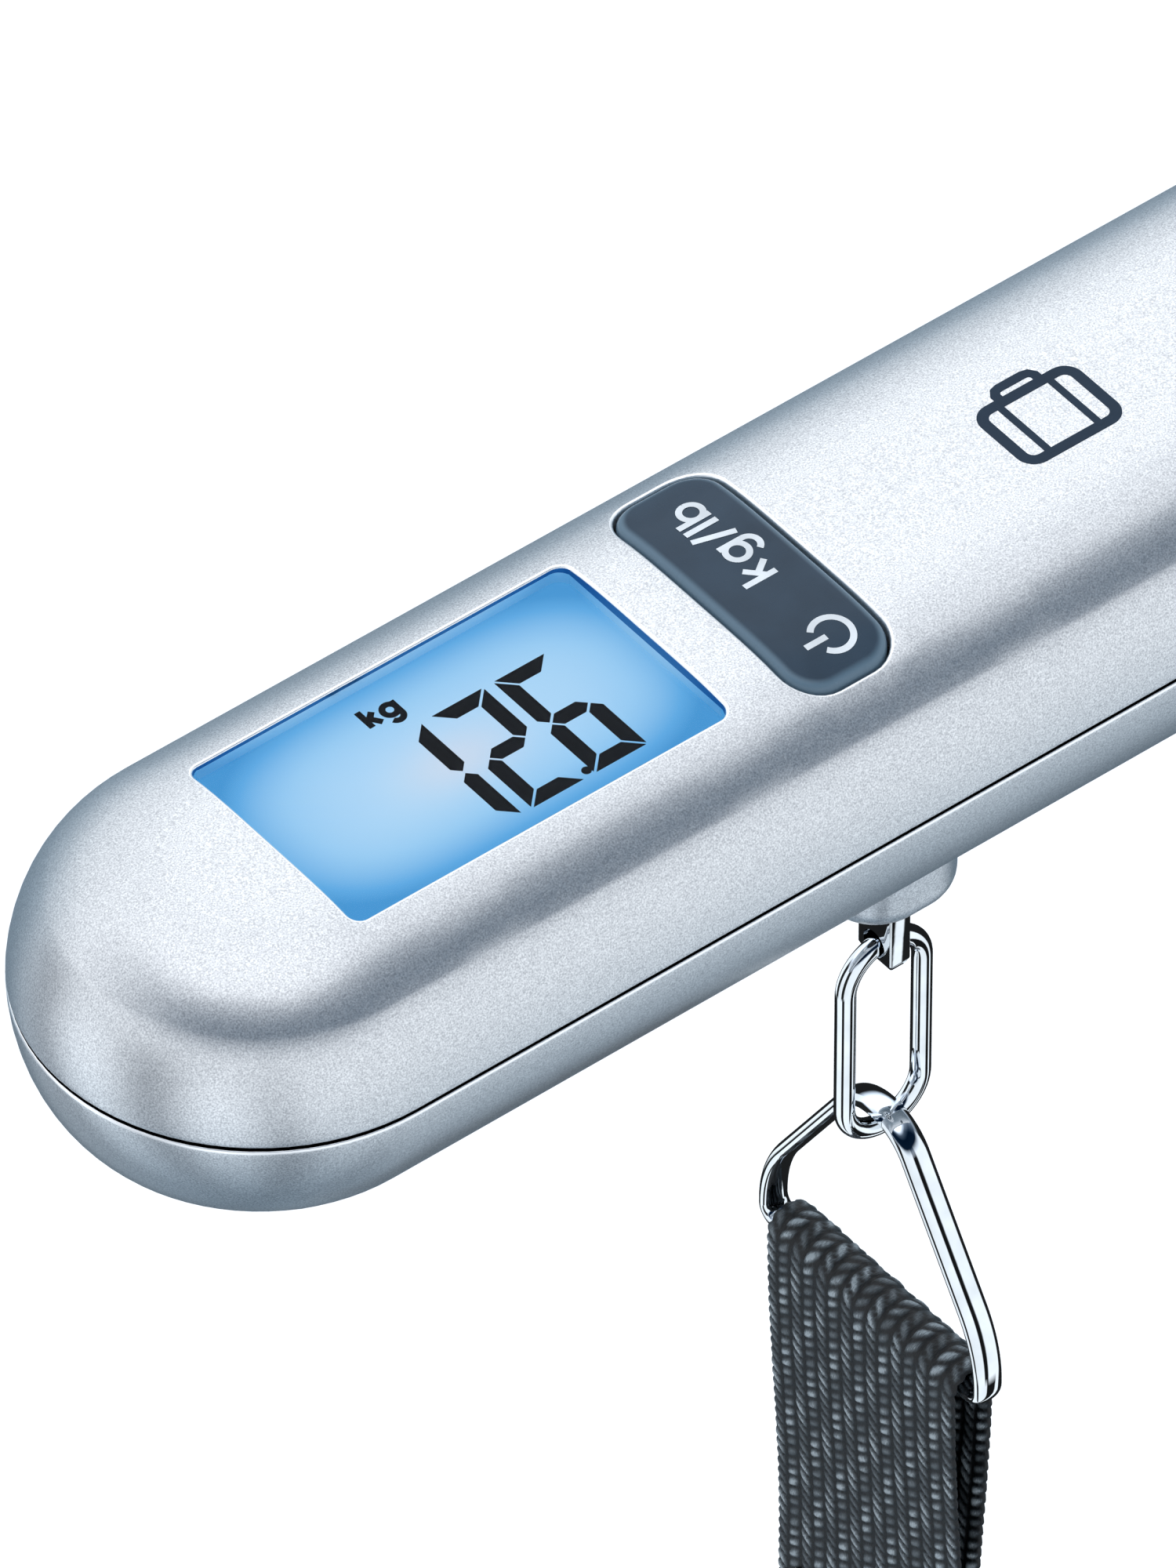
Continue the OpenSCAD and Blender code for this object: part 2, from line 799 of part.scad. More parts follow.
module pull_post() {
    collar_z = cell_top - cell_h - collar_t;
    color("silver")
        difference() {
            union() {
                translate([-post_t / 2, -post_w / 2, -post_drop + 0.7])
                    cube([post_t, post_w, collar_z + post_drop - 0.7 + eps]);
                // chamfered foot
                translate([0, 0, -post_drop + 0.35])
                    cube([post_t - 0.5, post_w - 0.5, 0.7 + 2 * eps], center = true);
                translate([0, 0, collar_z]) cylinder(collar_t, collar_r, collar_r);
                translate([0, 0, collar_z + eps]) cylinder(14.6, stud_r, stud_r);
            }
            translate([-5, 0, post_hole_z]) rotate([0, 90, 0]) cylinder(10, post_hole_r, post_hole_r);
        }
}

module post_washer() {
    color("silver")
        translate([0, 0, cell_top])
            difference() {
                cylinder(washer_t, 4.3, 4.3);
                translate([0, 0, -1]) cylinder(3, stud_r + 0.15, stud_r + 0.15);
            }
}

module post_nut() {
    color("silver")
        translate([0, 0, cell_top + washer_t])
            difference() {
                cylinder(nut_h, 4, 4, $fn = 6);
                translate([0, 0, -1]) cylinder(nut_h + 2, stud_r + 0.03, stud_r + 0.03);
            }
}

// ---------------------------------------------------------------- chain

module oval_link() {
    low = link_bottom_z;
    high = link_top_z;
    color("silver")
        stand_xz()
            wire_loop([[link_bend, low, link_bend], [link_bend, high, link_bend],
                    [-link_bend, high, link_bend], [-link_bend, low, link_bend]], link_r);
}

module triangle_ring() {
    color("silver")
        stand_yz()
            wire_loop([[ring_half, ring_bar_z, bar_bend], [ring_half, shoulder_z, shoulder_bend],
                    [0, peak_z, peak_bend],
                    [-ring_half, shoulder_z, shoulder_bend], [-ring_half, ring_bar_z, bar_bend]],
                ring_r, ring_flat);
}

// The strap's side outline: both ends run double and open round their bars.
module strap_outline() {
    function half_outline(end, meet, overlap) = [[loop_out, end], [strap_t, end - meet],
        [strap_t, end - overlap], [strap_t / 2, end - overlap]];
    function turned(points, x, y) =
        [for (i = [len(points) - 1:-1:0]) [x * points[i][0], y * points[i][1]]];
    right = concat(half_outline(strap_len / 2, upper_meet, upper_overlap),
        turned(half_outline(strap_len / 2, lower_meet, lower_overlap), 1, -1));
    polygon(concat(right, turned(right, -1, 1)));
}

// Where a bar passes through a loop of the strap.
module strap_eyelet(meet) {
    translate([0, 0, -1]) {
        cylinder(strap_w + 2, loop_in, loop_in);
        linear_extrude(strap_w + 2) polygon([[-loop_in, 0], [loop_in, 0], [0, -meet]]);
    }
}

module webbing_strap() {
    half = strap_len / 2;
    color("dimgray")
        translate([0, strap_w / 2, ring_bar_z - half])
            rotate([90, 0, 0])
                difference() {
                    union() {
                        linear_extrude(strap_w) strap_outline();
                        for (y = [-half, half])
                            translate([0, y, 0]) cylinder(strap_w, loop_out, loop_out);
                    }
                    translate([0, half, 0]) strap_eyelet(upper_meet);
                    translate([0, -half, 0]) mirror([0, 1, 0]) strap_eyelet(lower_meet);
                }
}

module swivel_eye() {
    color("silver")
        translate([0, 0, eye_z])
            union() {
                stand_yz()
                    wire_loop([[eye_foot_y, eye_foot_z, eye_bend],
                            [eye_half, eye_side_z, eye_bend], [eye_half, 0, eye_corner],
                            [-eye_half, 0, eye_corner], [-eye_half, eye_side_z, eye_bend],
                            [-eye_foot_y, eye_foot_z, eye_bend]],
                        eye_r);
                translate([0, 0, stem_end])
                    cylinder(eye_foot_z - stem_end, stem_r, stem_r);
                translate([0, 0, stem_end - head_t]) cylinder(head_t + eps, head_r, head_r);
            }
}

module hook_outline() {
    arm_out = bowl_r + hook_arm;
    neck_z = barrel_top - 3;
    difference() {
        union() {
            // neck that spreads from the barrel to the back arm and the lug
            polygon([[-barrel_r + 0.3, neck_z], [barrel_r - 0.3, neck_z],
                [pivot_y + 2, pivot_z + 2.2], [pivot_y, pivot_z - lug_r],
                [barrel_cup_r + 0.6, barrel_bottom + 0.4], [-barrel_cup_r - 0.6, barrel_bottom + 0.4],
                [-bowl_r, -30], [-arm_out, -30], [-arm_out, -25.5]]);
            translate([pivot_y, pivot_z]) circle(lug_r);
            translate([-arm_out, bowl_z]) square([hook_arm, -bowl_z - 29.9]);
            // lower half of the bowl
            translate([0, bowl_z])
                intersection() {
                    circle(arm_out, $fn = 96);
                    translate([-arm_out, -arm_out - eps]) square([2 * arm_out, arm_out + 2 * eps]);
                }
            translate([bowl_r, bowl_z]) square([hook_arm, nose_z - bowl_z]);
            translate([bowl_r + hook_arm / 2, nose_z]) circle(hook_arm / 2);
        }
        translate([0, bowl_z]) circle(bowl_r, $fn = 96);
    }
}

module hook_body() {
    color("silver")
        translate([0, 0, eye_z])
            difference() {
                union() {
                    translate([-hook_t / 2, 0, 0])
                        stand_yz() linear_extrude(hook_t) hook_outline();
                    translate([0, 0, barrel_bottom])
                        cylinder(barrel_top - barrel_bottom, barrel_r, barrel_r);
                }
                translate([0, 0, barrel_bottom]) cylinder(20, barrel_bore_r, barrel_bore_r);
                translate([0, 0, barrel_bottom - 1])
                    cylinder(stem_end + 0.3 - barrel_bottom + 1, barrel_cup_r, barrel_cup_r);
                translate([-hook_t, pivot_y, pivot_z])
                    rotate([0, 90, 0]) cylinder(2 * hook_t, pin_r + 0.02, pin_r + 0.02);
            }
}

// The gate is a bar between two cheeks that hold the pin.
module hook_gate() {
    fall = [gate_tip_y - pivot_y, gate_tip_z - pivot_z];
    lean = atan2(-fall[0], -fall[1]);
    reach = norm(fall);
    web_top = lug_r + 1.1;
    color("silver")
        translate([0, pivot_y, eye_z + pivot_z])
            rotate([-lean, 0, 0])
                difference() {
                    union() {
                        translate([-gate_half_w, -gate_bar / 2, -reach])
                            cube([2 * gate_half_w, gate_bar, reach - web_top]);
                        for (x = [-gate_half_w, gate_half_w - cheek_t]) {
                            translate([x, -gate_bar / 2, -web_top - eps])
                                cube([cheek_t, gate_bar, web_top]);
                            translate([x, 0, 0]) rotate([0, 90, 0]) cylinder(cheek_t, 2.4, 2.4);
                        }
                    }
                    translate([-10, 0, 0])
                        rotate([0, 90, 0])
                            cylinder(20, pin_r + pin_clearance, pin_r + pin_clearance);
                }
}

module gate_pin() {
    color("gray")
        translate([-gate_half_w - 0.5, pivot_y, eye_z + pivot_z])
            rotate([0, 90, 0])
                union() {
                    cylinder(2 * gate_half_w + 1, pin_r, pin_r);
                    cylinder(0.4, 1.5, 1.5);
                    translate([0, 0, 2 * gate_half_w + 0.6]) cylinder(0.4, 1.5, 1.5);
                }
}

// Leaf spring from the hook's neck to the inner face of the gate.
module gate_spring() {
    color("lightgray")
        translate([-1.4, 0, eye_z])
            stand_yz()
                linear_extrude(2.8)
                    polygon([[4.2, -25.9], [4.5, -25.9], [5.0, -30.4], [5.5, -33.2],
                        [5.2, -33.2], [4.7, -30.4]]);
}

upper_shell();
lower_shell();
case_screws();
boss_bushing();
display_lens();
lcd_glass();
backlight_guide();
reflector_sheet();
backlight_leds();
lcd_holder();
zebra_strip();
rocker_key();
keypad_mat();
main_pcb();
pcb_screws();
controller_blob();
pcb_components();
battery_holder();
coin_cell();
contact_negative();
contact_positive();
battery_leads();
battery_door();
load_cell();
strain_gauges();
gauge_leads();
chassis_plate();
load_cell_screws();
chassis_screws();
pull_post();
post_washer();
post_nut();
oval_link();
triangle_ring();
webbing_strap();
swivel_eye();
hook_body();
hook_gate();
gate_pin();
gate_spring();
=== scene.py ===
"""Looks of a hand-held digital luggage scale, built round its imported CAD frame.

Lengths are in millimetres up to the moment a mesh is made, then in metres.
"""
import json
import math

import bmesh
import bpy
import numpy as np
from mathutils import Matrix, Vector, geometry

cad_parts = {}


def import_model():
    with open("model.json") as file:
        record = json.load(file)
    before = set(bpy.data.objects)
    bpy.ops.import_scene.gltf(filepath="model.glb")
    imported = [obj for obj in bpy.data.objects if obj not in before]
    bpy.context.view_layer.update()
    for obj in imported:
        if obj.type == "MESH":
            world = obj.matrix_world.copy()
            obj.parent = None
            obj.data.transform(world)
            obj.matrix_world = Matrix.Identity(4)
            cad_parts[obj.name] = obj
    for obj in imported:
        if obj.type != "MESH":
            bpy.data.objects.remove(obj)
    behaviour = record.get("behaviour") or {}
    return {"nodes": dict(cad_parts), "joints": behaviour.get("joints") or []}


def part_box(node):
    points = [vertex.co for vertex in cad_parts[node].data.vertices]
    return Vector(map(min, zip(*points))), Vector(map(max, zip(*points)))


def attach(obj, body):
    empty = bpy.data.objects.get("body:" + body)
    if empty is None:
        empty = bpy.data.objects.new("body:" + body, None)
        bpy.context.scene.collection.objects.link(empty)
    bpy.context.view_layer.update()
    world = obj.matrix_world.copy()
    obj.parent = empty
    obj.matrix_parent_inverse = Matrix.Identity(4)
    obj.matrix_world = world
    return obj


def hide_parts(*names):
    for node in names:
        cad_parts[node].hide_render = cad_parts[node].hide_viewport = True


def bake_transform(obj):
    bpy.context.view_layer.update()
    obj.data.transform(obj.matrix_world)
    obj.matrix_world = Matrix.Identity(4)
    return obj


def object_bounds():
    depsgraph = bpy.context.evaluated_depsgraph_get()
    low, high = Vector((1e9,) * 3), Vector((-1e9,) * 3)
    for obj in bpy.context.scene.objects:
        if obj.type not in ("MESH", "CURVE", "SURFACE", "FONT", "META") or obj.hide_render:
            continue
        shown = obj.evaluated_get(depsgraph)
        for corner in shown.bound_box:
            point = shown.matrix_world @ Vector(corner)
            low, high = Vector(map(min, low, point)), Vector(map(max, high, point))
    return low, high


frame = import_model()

MM = 0.001
cad_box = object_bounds()
joint_at = {j["name"]: Vector(j["pos_m"]) / MM for j in frame["joints"]}


def cad(node):
    """Lowest and highest corner of a CAD node in millimetres."""
    low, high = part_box(node)
    return low / MM, high / MM


# ---- sizes

HALF_WIDTH = round(cad("upper_shell")[1].y, 1)
HALF_LENGTH = round(cad("upper_shell")[1].x, 1)
CROWN = round(cad("upper_shell")[1].z, 1)
BELLY = round(-cad("battery_door")[0].z, 1)
STRAIGHT = HALF_LENGTH - HALF_WIDTH
WALL = 1.8
ACROSS_POWER, UP_POWER = 4.2, 1.8  # of the casing's cross-section, a super-ellipse
SEAM = 0.15  # from the middle plane to either shell's edge
EDGE = 0.22  # radius of either shell's outer edge at the seam
REBATE, REBATE_TOP = HALF_WIDTH - WALL + 0.95, 1.1
LIP, LIP_TOP = HALF_WIDTH - WALL + 0.85, 1.0
BORDER_OUT, BORDER_IN = 15.0, 14.6  # where the casing's sides meet the patched skins
INNER_SPACING = 2.4

WINDOW = dict(cx=-39.05, cy=0, length=33.7, width=19.3, radius=1.0)
POCKET = dict(cx=-39.05, cy=0, length=36.4, width=21.4, radius=0.5)
POCKET_TOP = 9.7
WINDOW_EDGE, KEY_EDGE, BELLY_EDGE = 0.28, 0.35, 0.3  # radii of the openings' mouths
KEY = dict(cx=-12.65, cy=0, length=8.7, width=23.3, radius=2.8)
KEY_GAP = 0.3
KEY_BASE = 7.6
KEY_PROUD = 0.15
KEY_BEVEL = 0.75
DOOR = dict(cx=-43.5, cy=0, length=25.0, width=21.6, radius=1.25)
DOOR_GAP = 0.25
DOOR_WALL = 1.4
CASE_SCREWS = [(-68, 0), (67, 0), (20, 11.5), (20, -11.5)]
BOARD_SCREWS = [(-61.5, 9.5), (-61.5, -9.5), (-3.5, 9.5), (-3.5, -9.5)]
PLATE_SCREWS = [(31, 10.6), (31, -10.6), (58.5, 10.6), (58.5, -10.6)]
SCREW_FLOOR = -7.5
SCREW_POST, SCREW_MOUTH = 2.7, 2.6
BOARD_POST, BOARD_POST_END = 2.2, 4.4
PLATE_POST, PLATE_POST_END = 2.6, -0.05
BOSS = dict(cx=0, cy=0, length=10.9, width=9.0, radius=4.5, side=4, corner=14)
BOSS_END = cad("lower_shell")[0].z
BOSS_FLARE, BOSS_FOOT = 3.6, 2.2
BORE = 3.2

LINK_WIRE = 0.8
RING_HALF_T, RING_HALF_DEPTH = 0.65, 1.25
EYE_WIRE = 1.15
GATE_PIVOT, GATE_TIP = (8.6, -27), (5.1, -41.8)  # across and up from the eye's bar
CHEEK_OUT = 3.2  # of the gate's two cheeks, from the hook's middle plane


# ---- meshes

def placed(name, data):
    """A new object in the scene."""
    obj = bpy.data.objects.new(name, data)
    bpy.context.scene.collection.objects.link(obj)
    return obj


def make_object(name, points, faces, sharp=35):
    """A smooth-shaded mesh object from points in millimetres, with its normals outwards."""
    mesh = bpy.data.meshes.new(name)
    mesh.from_pydata((np.array(points, float) * MM).tolist(), [], faces)
    bm = bmesh.new()
    bm.from_mesh(mesh)
    bmesh.ops.recalc_face_normals(bm, faces=bm.faces)
    bm.to_mesh(mesh)
    bm.free()
    obj = placed(name, mesh)
    shade(obj, sharp)
    return obj


def shade(obj, sharp=35):
    obj.data.polygons.foreach_set("use_smooth", [True] * len(obj.data.polygons))
    obj.data.set_sharp_from_angle(angle=math.radians(sharp))


def baked(obj):
    """Turns an object's modifiers into its mesh."""
    bpy.context.view_layer.update()
    evaluated = obj.evaluated_get(bpy.context.evaluated_depsgraph_get())
    mesh = bpy.data.meshes.new_from_object(evaluated)
    obj.modifiers.clear()
    obj.data = mesh


def carve(obj, tool, operation):
    """Joins another solid to obj, or cuts it away, and removes the tool."""
    modifier = obj.modifiers.new("carve", "BOOLEAN")
    modifier.object = tool
    modifier.operation = operation
    modifier.solver = "EXACT"
    baked(obj)
    bpy.data.objects.remove(tool)
    shade(obj)
    return obj


class Solid:
    """The points and faces of one mesh, gathered loop by loop, in millimetres."""

    def __init__(self):
        self.points = []
        self.faces = []

    def loop(self, points):
        first = len(self.points)
        self.points.extend(points)
        return list(range(first, len(self.points)))

    def bridge(self, a, b):
        """Quads between two closed loops with the same number of points."""
        n = len(a)
        for i in range(n):
            j = (i + 1) % n
            self.faces.append((a[i], a[j], b[j], b[i]))

    def bridge_all(self, loops):
        for a, b in zip(loops, loops[1:]):
            self.bridge(a, b)

    def cap(self, a):
        self.faces.append(tuple(a))

    def tube(self, loops):
        """Loops bridged in turn, with both ends capped."""
        self.bridge_all(loops)
        self.cap(loops[0])
        self.cap(loops[-1])

    def patch(self, border, holes, height, spacing=1.6):
        """A skin of triangles over height(x, y), inside border and outside the holes."""
        loops = [border, *holes]
        flat = [np.array([self.points[i][:2] for i in loop]) for loop in loops]
        low, high = flat[0].min(0), flat[0].max(0)
        xs = np.arange(low[0] + spacing / 2, high[0], spacing)
        ys = np.arange(low[1] + spacing / 2, high[1], spacing)
        grid = np.stack(np.meshgrid(xs, ys), -1).reshape(-1, 2)
        keep = within(grid, flat[0])
        for hole in flat[1:]:
            keep &= ~within(grid, hole)
        for loop in flat:
            away = np.linalg.norm(grid[:, None] - loop[None], axis=2).min(1)
            keep &= away > 0.6 * spacing
        inner = self.loop([(x, y, height(x, y)) for x, y in grid[keep]])
        order = [i for loop in loops for i in loop] + inner
        coords = [Vector(self.points[i][:2]) for i in order]
        edges, first = [], 0
        for loop in loops:
            n = len(loop)
            edges += [(first + i, first + (i + 1) % n) for i in range(n)]
            first += n
        made = geometry.delaunay_2d_cdt(coords, edges, [], 0, 1e-6)
        source = [order[old[0]] for old in made[3]]
        middles = np.array([np.mean([made[0][i][:] for i in f], 0) for f in made[2]])
        inside = within(middles, flat[0])
        for hole in flat[1:]:
            inside &= ~within(middles, hole)
        self.faces += [tuple(source[i] for i in f) for f, ok in zip(made[2], inside) if ok]

    def build(self, name, sharp=35):
        return make_object(name, self.points, self.faces, sharp)


def within(points, outline):
    """Which points lie inside a closed outline."""
    inside = np.zeros(len(points), bool)
    x, y = points[:, 0], points[:, 1]
    for (x0, y0), (x1, y1) in zip(outline, np.roll(outline, -1, 0)):
        crosses = (y0 > y) != (y1 > y)
        run = np.where(y1 == y0, 1e-12, y1 - y0)
        inside ^= crosses & (x < x0 + (x1 - x0) * (y - y0) / run)
    return inside


def rounded_rect(cx, cy, length, width, radius, grow=0.0, corner=8, side=14):
    """Points round a rectangle with round corners, the same number for any grow."""
    reach_x, reach_y = length / 2 - radius, width / 2 - radius
    r = radius + grow
    signs = ((1, 1), (-1, 1), (-1, -1), (1, -1))

    def on_corner(k, degrees):
        sx, sy = signs[k % 4]
        a = math.radians(degrees)
        return (cx + sx * reach_x + r * math.cos(a), cy + sy * reach_y + r * math.sin(a))

    points = []
    for k in range(4):
        points += [on_corner(k, 90 * k + 90 * i / corner) for i in range(corner + 1)]
        here, there = points[-1], on_corner(k + 1, 90 * k + 90)
        for i in range(1, side):
            t = i / side
            points.append((here[0] + t * (there[0] - here[0]), here[1] + t * (there[1] - here[1])))
    return points


def circle(cx, cy, radius, n=48):
    turn = 2 * math.pi / n
    return [(cx + radius * math.cos(turn * i), cy + radius * math.sin(turn * i)) for i in range(n)]


def turned(vector, angle):
    c, s = math.cos(angle), math.sin(angle)
    return np.array([c * vector[0] - s * vector[1], s * vector[0] + c * vector[1]])


def rounded_path(corners, step=0.35):
    """Points and headings round a polygon whose corners (x, y, bend) are round."""
    n = len(corners)
    places = [np.array(c[:2], float) for c in corners]
    points, headings = [], []

    def heading(i):
        d = places[(i + 1) % n] - places[i % n]
        return d / np.linalg.norm(d)

    for i in range(n):
        before, after = heading((i - 1) % n), heading(i)
        turn = math.atan2(before[0] * after[1] - before[1] * after[0], before @ after)
        bend = corners[i][2]
        start = places[i] - before * bend * math.tan(abs(turn) / 2)
        left = np.array([-before[1], before[0]]) * math.copysign(1, turn)
        centre = start + left * bend
        steps = max(2, math.ceil(abs(turn) * bend / step), math.ceil(abs(turn) / 0.16))
        for k in range(steps + 1):
            a = turn * k / steps
            points.append(centre + turned(-left * bend, a))
            headings.append(turned(before, a))
    full, full_headings = [], []
    for i, here in enumerate(points):
        there = points[(i + 1) % len(points)]
        gap = np.linalg.norm(there - here)
        if gap < 1e-6:
            continue
        count = max(1, round(gap / (4 * step)))
        for k in range(count):
            full.append(here + (there - here) * k / count)
            full_headings.append(headings[i])
    return full, full_headings


def sweep(name, corners, section, place):
    """A closed wire: section (in-plane, depth) points carried round a rounded outline."""
    solid = Solid()
    path, headings = rounded_path(corners)
    loops = []
    for point, heading in zip(path, headings):
        normal = np.array([heading[1], -heading[0]])
        loops.append(solid.loop([place(*(point + normal * u), w) for u, w in section]))
    solid.bridge_all(loops + [loops[0]])
    return solid.build(name, 60)


def lathe(name, profile, n=48):
    """A solid turned round the Z axis from (radius, height) points, closed on itself."""
    solid = Solid()
    loops = [solid.loop([(x, y, z) for x, y in circle(0, 0, r, n)]) for r, z in profile]
    solid.bridge_all(loops + [loops[0]])
    return solid.build(name)


def slab(name, corners, half_thick, edge, place):
    """A plate with rounded edges whose outline is a rounded polygon, anticlockwise."""
    solid = Solid()
    path, headings = rounded_path(corners)
    loops, steps = [], 5
    for side in (-1, 1):
        angles = [90 * i / steps for i in range(steps + 1)]
        for a in angles if side < 0 else reversed(angles):
            inset = edge * (1 - math.sin(math.radians(a)))
            depth = side * (half_thick - edge + edge * math.cos(math.radians(a)))
            loops.append(solid.loop([
                place(*(p - np.array([h[1], -h[0]]) * inset), depth)
                for p, h in zip(path, headings)]))
    solid.tube(loops)
    return solid.build(name)


# ---- casing

def share_across(x, y, half_width):
    over = max(abs(x) - STRAIGHT, 0)
    return min(math.hypot(over, y) / half_width, 1)


def dome(half_width, height):
    """Height of the casing's upper half over the middle plane, as a function of x and y."""
    def at(x, y):
        rest = 1 - share_across(x, y, half_width) ** ACROSS_POWER
        return height * max(rest, 0) ** (1 / UP_POWER)
    return at


def belly(half_width, height):
    """The same for the lower half, below the middle plane."""
    over = dome(half_width, height)
    return lambda x, y: -over(x, y)


def level(z):
    """A flat surface, for use where a height(x, y) is asked for."""
    return lambda x, y: z


def drop_to(solid, outline, height):
    """A loop along an outline at height(x, y)."""
    return solid.loop([(x, y, height(x, y)) for x, y in outline])


def stations():
    """Where the casing's edge runs: the centre each stretch turns round, and its heading out."""
    bends, run = 40, 76
    quarter = math.pi / 2
    made = []
    for side, first in ((1, -quarter), (-1, quarter)):
        end = side * STRAIGHT
        made += [(end, math.cos(a), math.sin(a)) for a in np.linspace(first, first + math.pi, bends + 1)]
        made += [(x, 0, side) for x in np.linspace(end, -end, run + 1)[1:-1]]
    return made


STATIONS = stations()
crown_top = dome(HALF_WIDTH, CROWN)
key_top = dome(HALF_WIDTH + KEY_PROUD, CROWN + KEY_PROUD)


def edge_loop(solid, rho, z):
    return solid.loop([(cx + rho * dx, rho * dy, z) for cx, dx, dy in STATIONS])


def side_profile(half_width, height, rho, z_end, steps):
    """(rho, z) down the casing's side, from distance rho out to height z_end."""
    first = math.acos((rho / half_width) ** (ACROSS_POWER / 2))
    last = math.asin((z_end / height) ** (UP_POWER / 2))
    angles = [first + (last - first) * i / steps for i in range(steps + 1)]
    return [(half_width * math.cos(t) ** (2 / ACROSS_POWER), height * math.sin(t) ** (2 / UP_POWER))
            for t in angles]


def shell_walls(solid, height, sign, joint, back_end):
    """A shell's sides: its outer side and edge, its part of the joint, its inner side.

    The joint is a list of (rho, z), like the rest. Returns the first and the last loop.
    """
    side = side_profile(HALF_WIDTH, height, BORDER_OUT, SEAM + EDGE, 22)
    side += [(HALF_WIDTH - EDGE * (1 - math.cos(a)), SEAM + EDGE * (1 - math.sin(a)))
             for a in np.radians([30, 60, 90])]
    back = side_profile(HALF_WIDTH - WALL, height - WALL, BORDER_IN, back_end, 12)[::-1]
    loops = [edge_loop(solid, rho, sign * z) for rho, z in side + joint + back]
    solid.bridge_all(loops)
    return loops[0], loops[-1]


def around(shape, gap=0):
    """A rounded rectangle's outline, as a function of how much it grows."""
    return lambda grow: rounded_rect(grow=gap + grow, **shape)


def rounding(solid, outline, skin, radius, away_sign, steps=5):
    """Loops that round a skin into a wall: outline(grow) shrinks on to the wall."""
    loops = []
    for i in range(steps + 1):
        a = math.radians(90 * i / steps)
        grow, drop = radius * (1 - math.sin(a)), radius * (1 - math.cos(a))
        loops.append(solid.loop([(x, y, skin(x, y) + away_sign * drop) for x, y in outline(grow)]))
    solid.bridge_all(loops)
    return loops


def rounded_wall(solid, outline, skin, radius, away_sign, end):
    """A wall with a round edge, from a skin to height end(x, y). Returns its first and last loop."""
    loops = rounding(solid, outline, skin, radius, away_sign)
    last = drop_to(solid, outline(0), end)
    solid.bridge(loops[-1], last)
    return loops[0], last


def post(solid, x, y, radius, skin, end):
    """A round post inside the casing, from the inner skin to height end. Returns its root."""
    outline = circle(x, y, radius, 32)
    root, tip = drop_to(solid, outline, skin), drop_to(solid, outline, level(end))
    solid.bridge(root, tip)
    solid.cap(tip)
    return root


def upper_shell():
    solid = Solid()
    outer, inner = dome(HALF_WIDTH, CROWN), dome(HALF_WIDTH - WALL, CROWN - WALL)
    rebate = [(REBATE, SEAM), (REBATE, REBATE_TOP)]
    border, inner_border = shell_walls(solid, CROWN, 1, rebate, REBATE_TOP)
    window, sill = rounded_wall(solid, around(WINDOW), outer, WINDOW_EDGE, -1, level(POCKET_TOP))
    pocket, pocket_root = (drop_to(solid, rounded_rect(**POCKET), z) for z in (level(POCKET_TOP), inner))
    solid.bridge_all([sill, pocket, pocket_root])
    key, key_root = rounded_wall(solid, around(KEY, KEY_GAP), outer, KEY_EDGE, -1, inner)

    posts = [post(solid, x, y, SCREW_POST, inner, SEAM) for x, y in CASE_SCREWS]
    posts += [post(solid, x, y, BOARD_POST, inner, BOARD_POST_END) for x, y in BOARD_SCREWS]
    solid.patch(border, [window, key], outer)
    solid.patch(inner_border, [pocket_root, key_root, *posts], inner, INNER_SPACING)
    return solid.build("casing_top")


def lower_shell():
    solid = Solid()
    outer, inner = belly(HALF_WIDTH, BELLY), belly(HALF_WIDTH - WALL, BELLY - WALL)
    bevel = 0.1
    lip = [(LIP, SEAM), (LIP, bevel - LIP_TOP), (LIP - bevel, -LIP_TOP),
           (HALF_WIDTH - WALL + bevel, -LIP_TOP), (HALF_WIDTH - WALL, bevel - LIP_TOP)]
    border, inner_border = shell_walls(solid, BELLY, -1, lip, 0.3)
    door, door_root = rounded_wall(solid, around(DOOR, DOOR_GAP), outer, BELLY_EDGE, 1, inner)
    mouths, roots = [door], [door_root]
    for x, y in CASE_SCREWS:
        mouth, bottom = rounded_wall(solid, lambda grow, x=x, y=y: circle(x, y, SCREW_MOUTH + grow),
                                     outer, BELLY_EDGE, 1, level(SCREW_FLOOR))
        solid.cap(bottom)
        mouths.append(mouth)
        roots.append(post(solid, x, y, SCREW_POST, inner, -SEAM))
    roots += [post(solid, x, y, PLATE_POST, inner, PLATE_POST_END) for x, y in PLATE_SCREWS]

    boss = rounding(solid, around(BOSS), outer, BOSS_FLARE, -1, 10)
    tail = [drop_to(solid, rounded_rect(grow=BOSS_FOOT * (math.cos(a) - 1), **BOSS),
                    level(BOSS_END + BOSS_FOOT * (1 - math.sin(a))))
            for a in np.radians(np.linspace(0, 90, 9))]
    ring = rounded_rect(0, 0, 2 * BORE, 2 * BORE, BORE - 1e-3, side=4, corner=14)
    rim, bore = (drop_to(solid, ring, z) for z in (level(BOSS_END), inner))
    solid.bridge_all([boss[-1], *tail, rim, bore])
    mouths.append(boss[0])
    roots.append(bore)

    solid.patch(border, mouths, outer)
    solid.patch(inner_border, roots, inner, INNER_SPACING)
    return solid.build("casing_bottom")


def battery_door():
    solid = Solid()
    outer, inner = belly(HALF_WIDTH, BELLY), belly(HALF_WIDTH - DOOR_WALL, BELLY - DOOR_WALL)
    rim, back = rounded_wall(solid, lambda shrink: rounded_rect(grow=-shrink, **DOOR),
                             outer, BELLY_EDGE, 1, inner)
    solid.patch(rim, [], outer)
    solid.patch(back, [], inner, INNER_SPACING)
    return solid.build("door_cover")


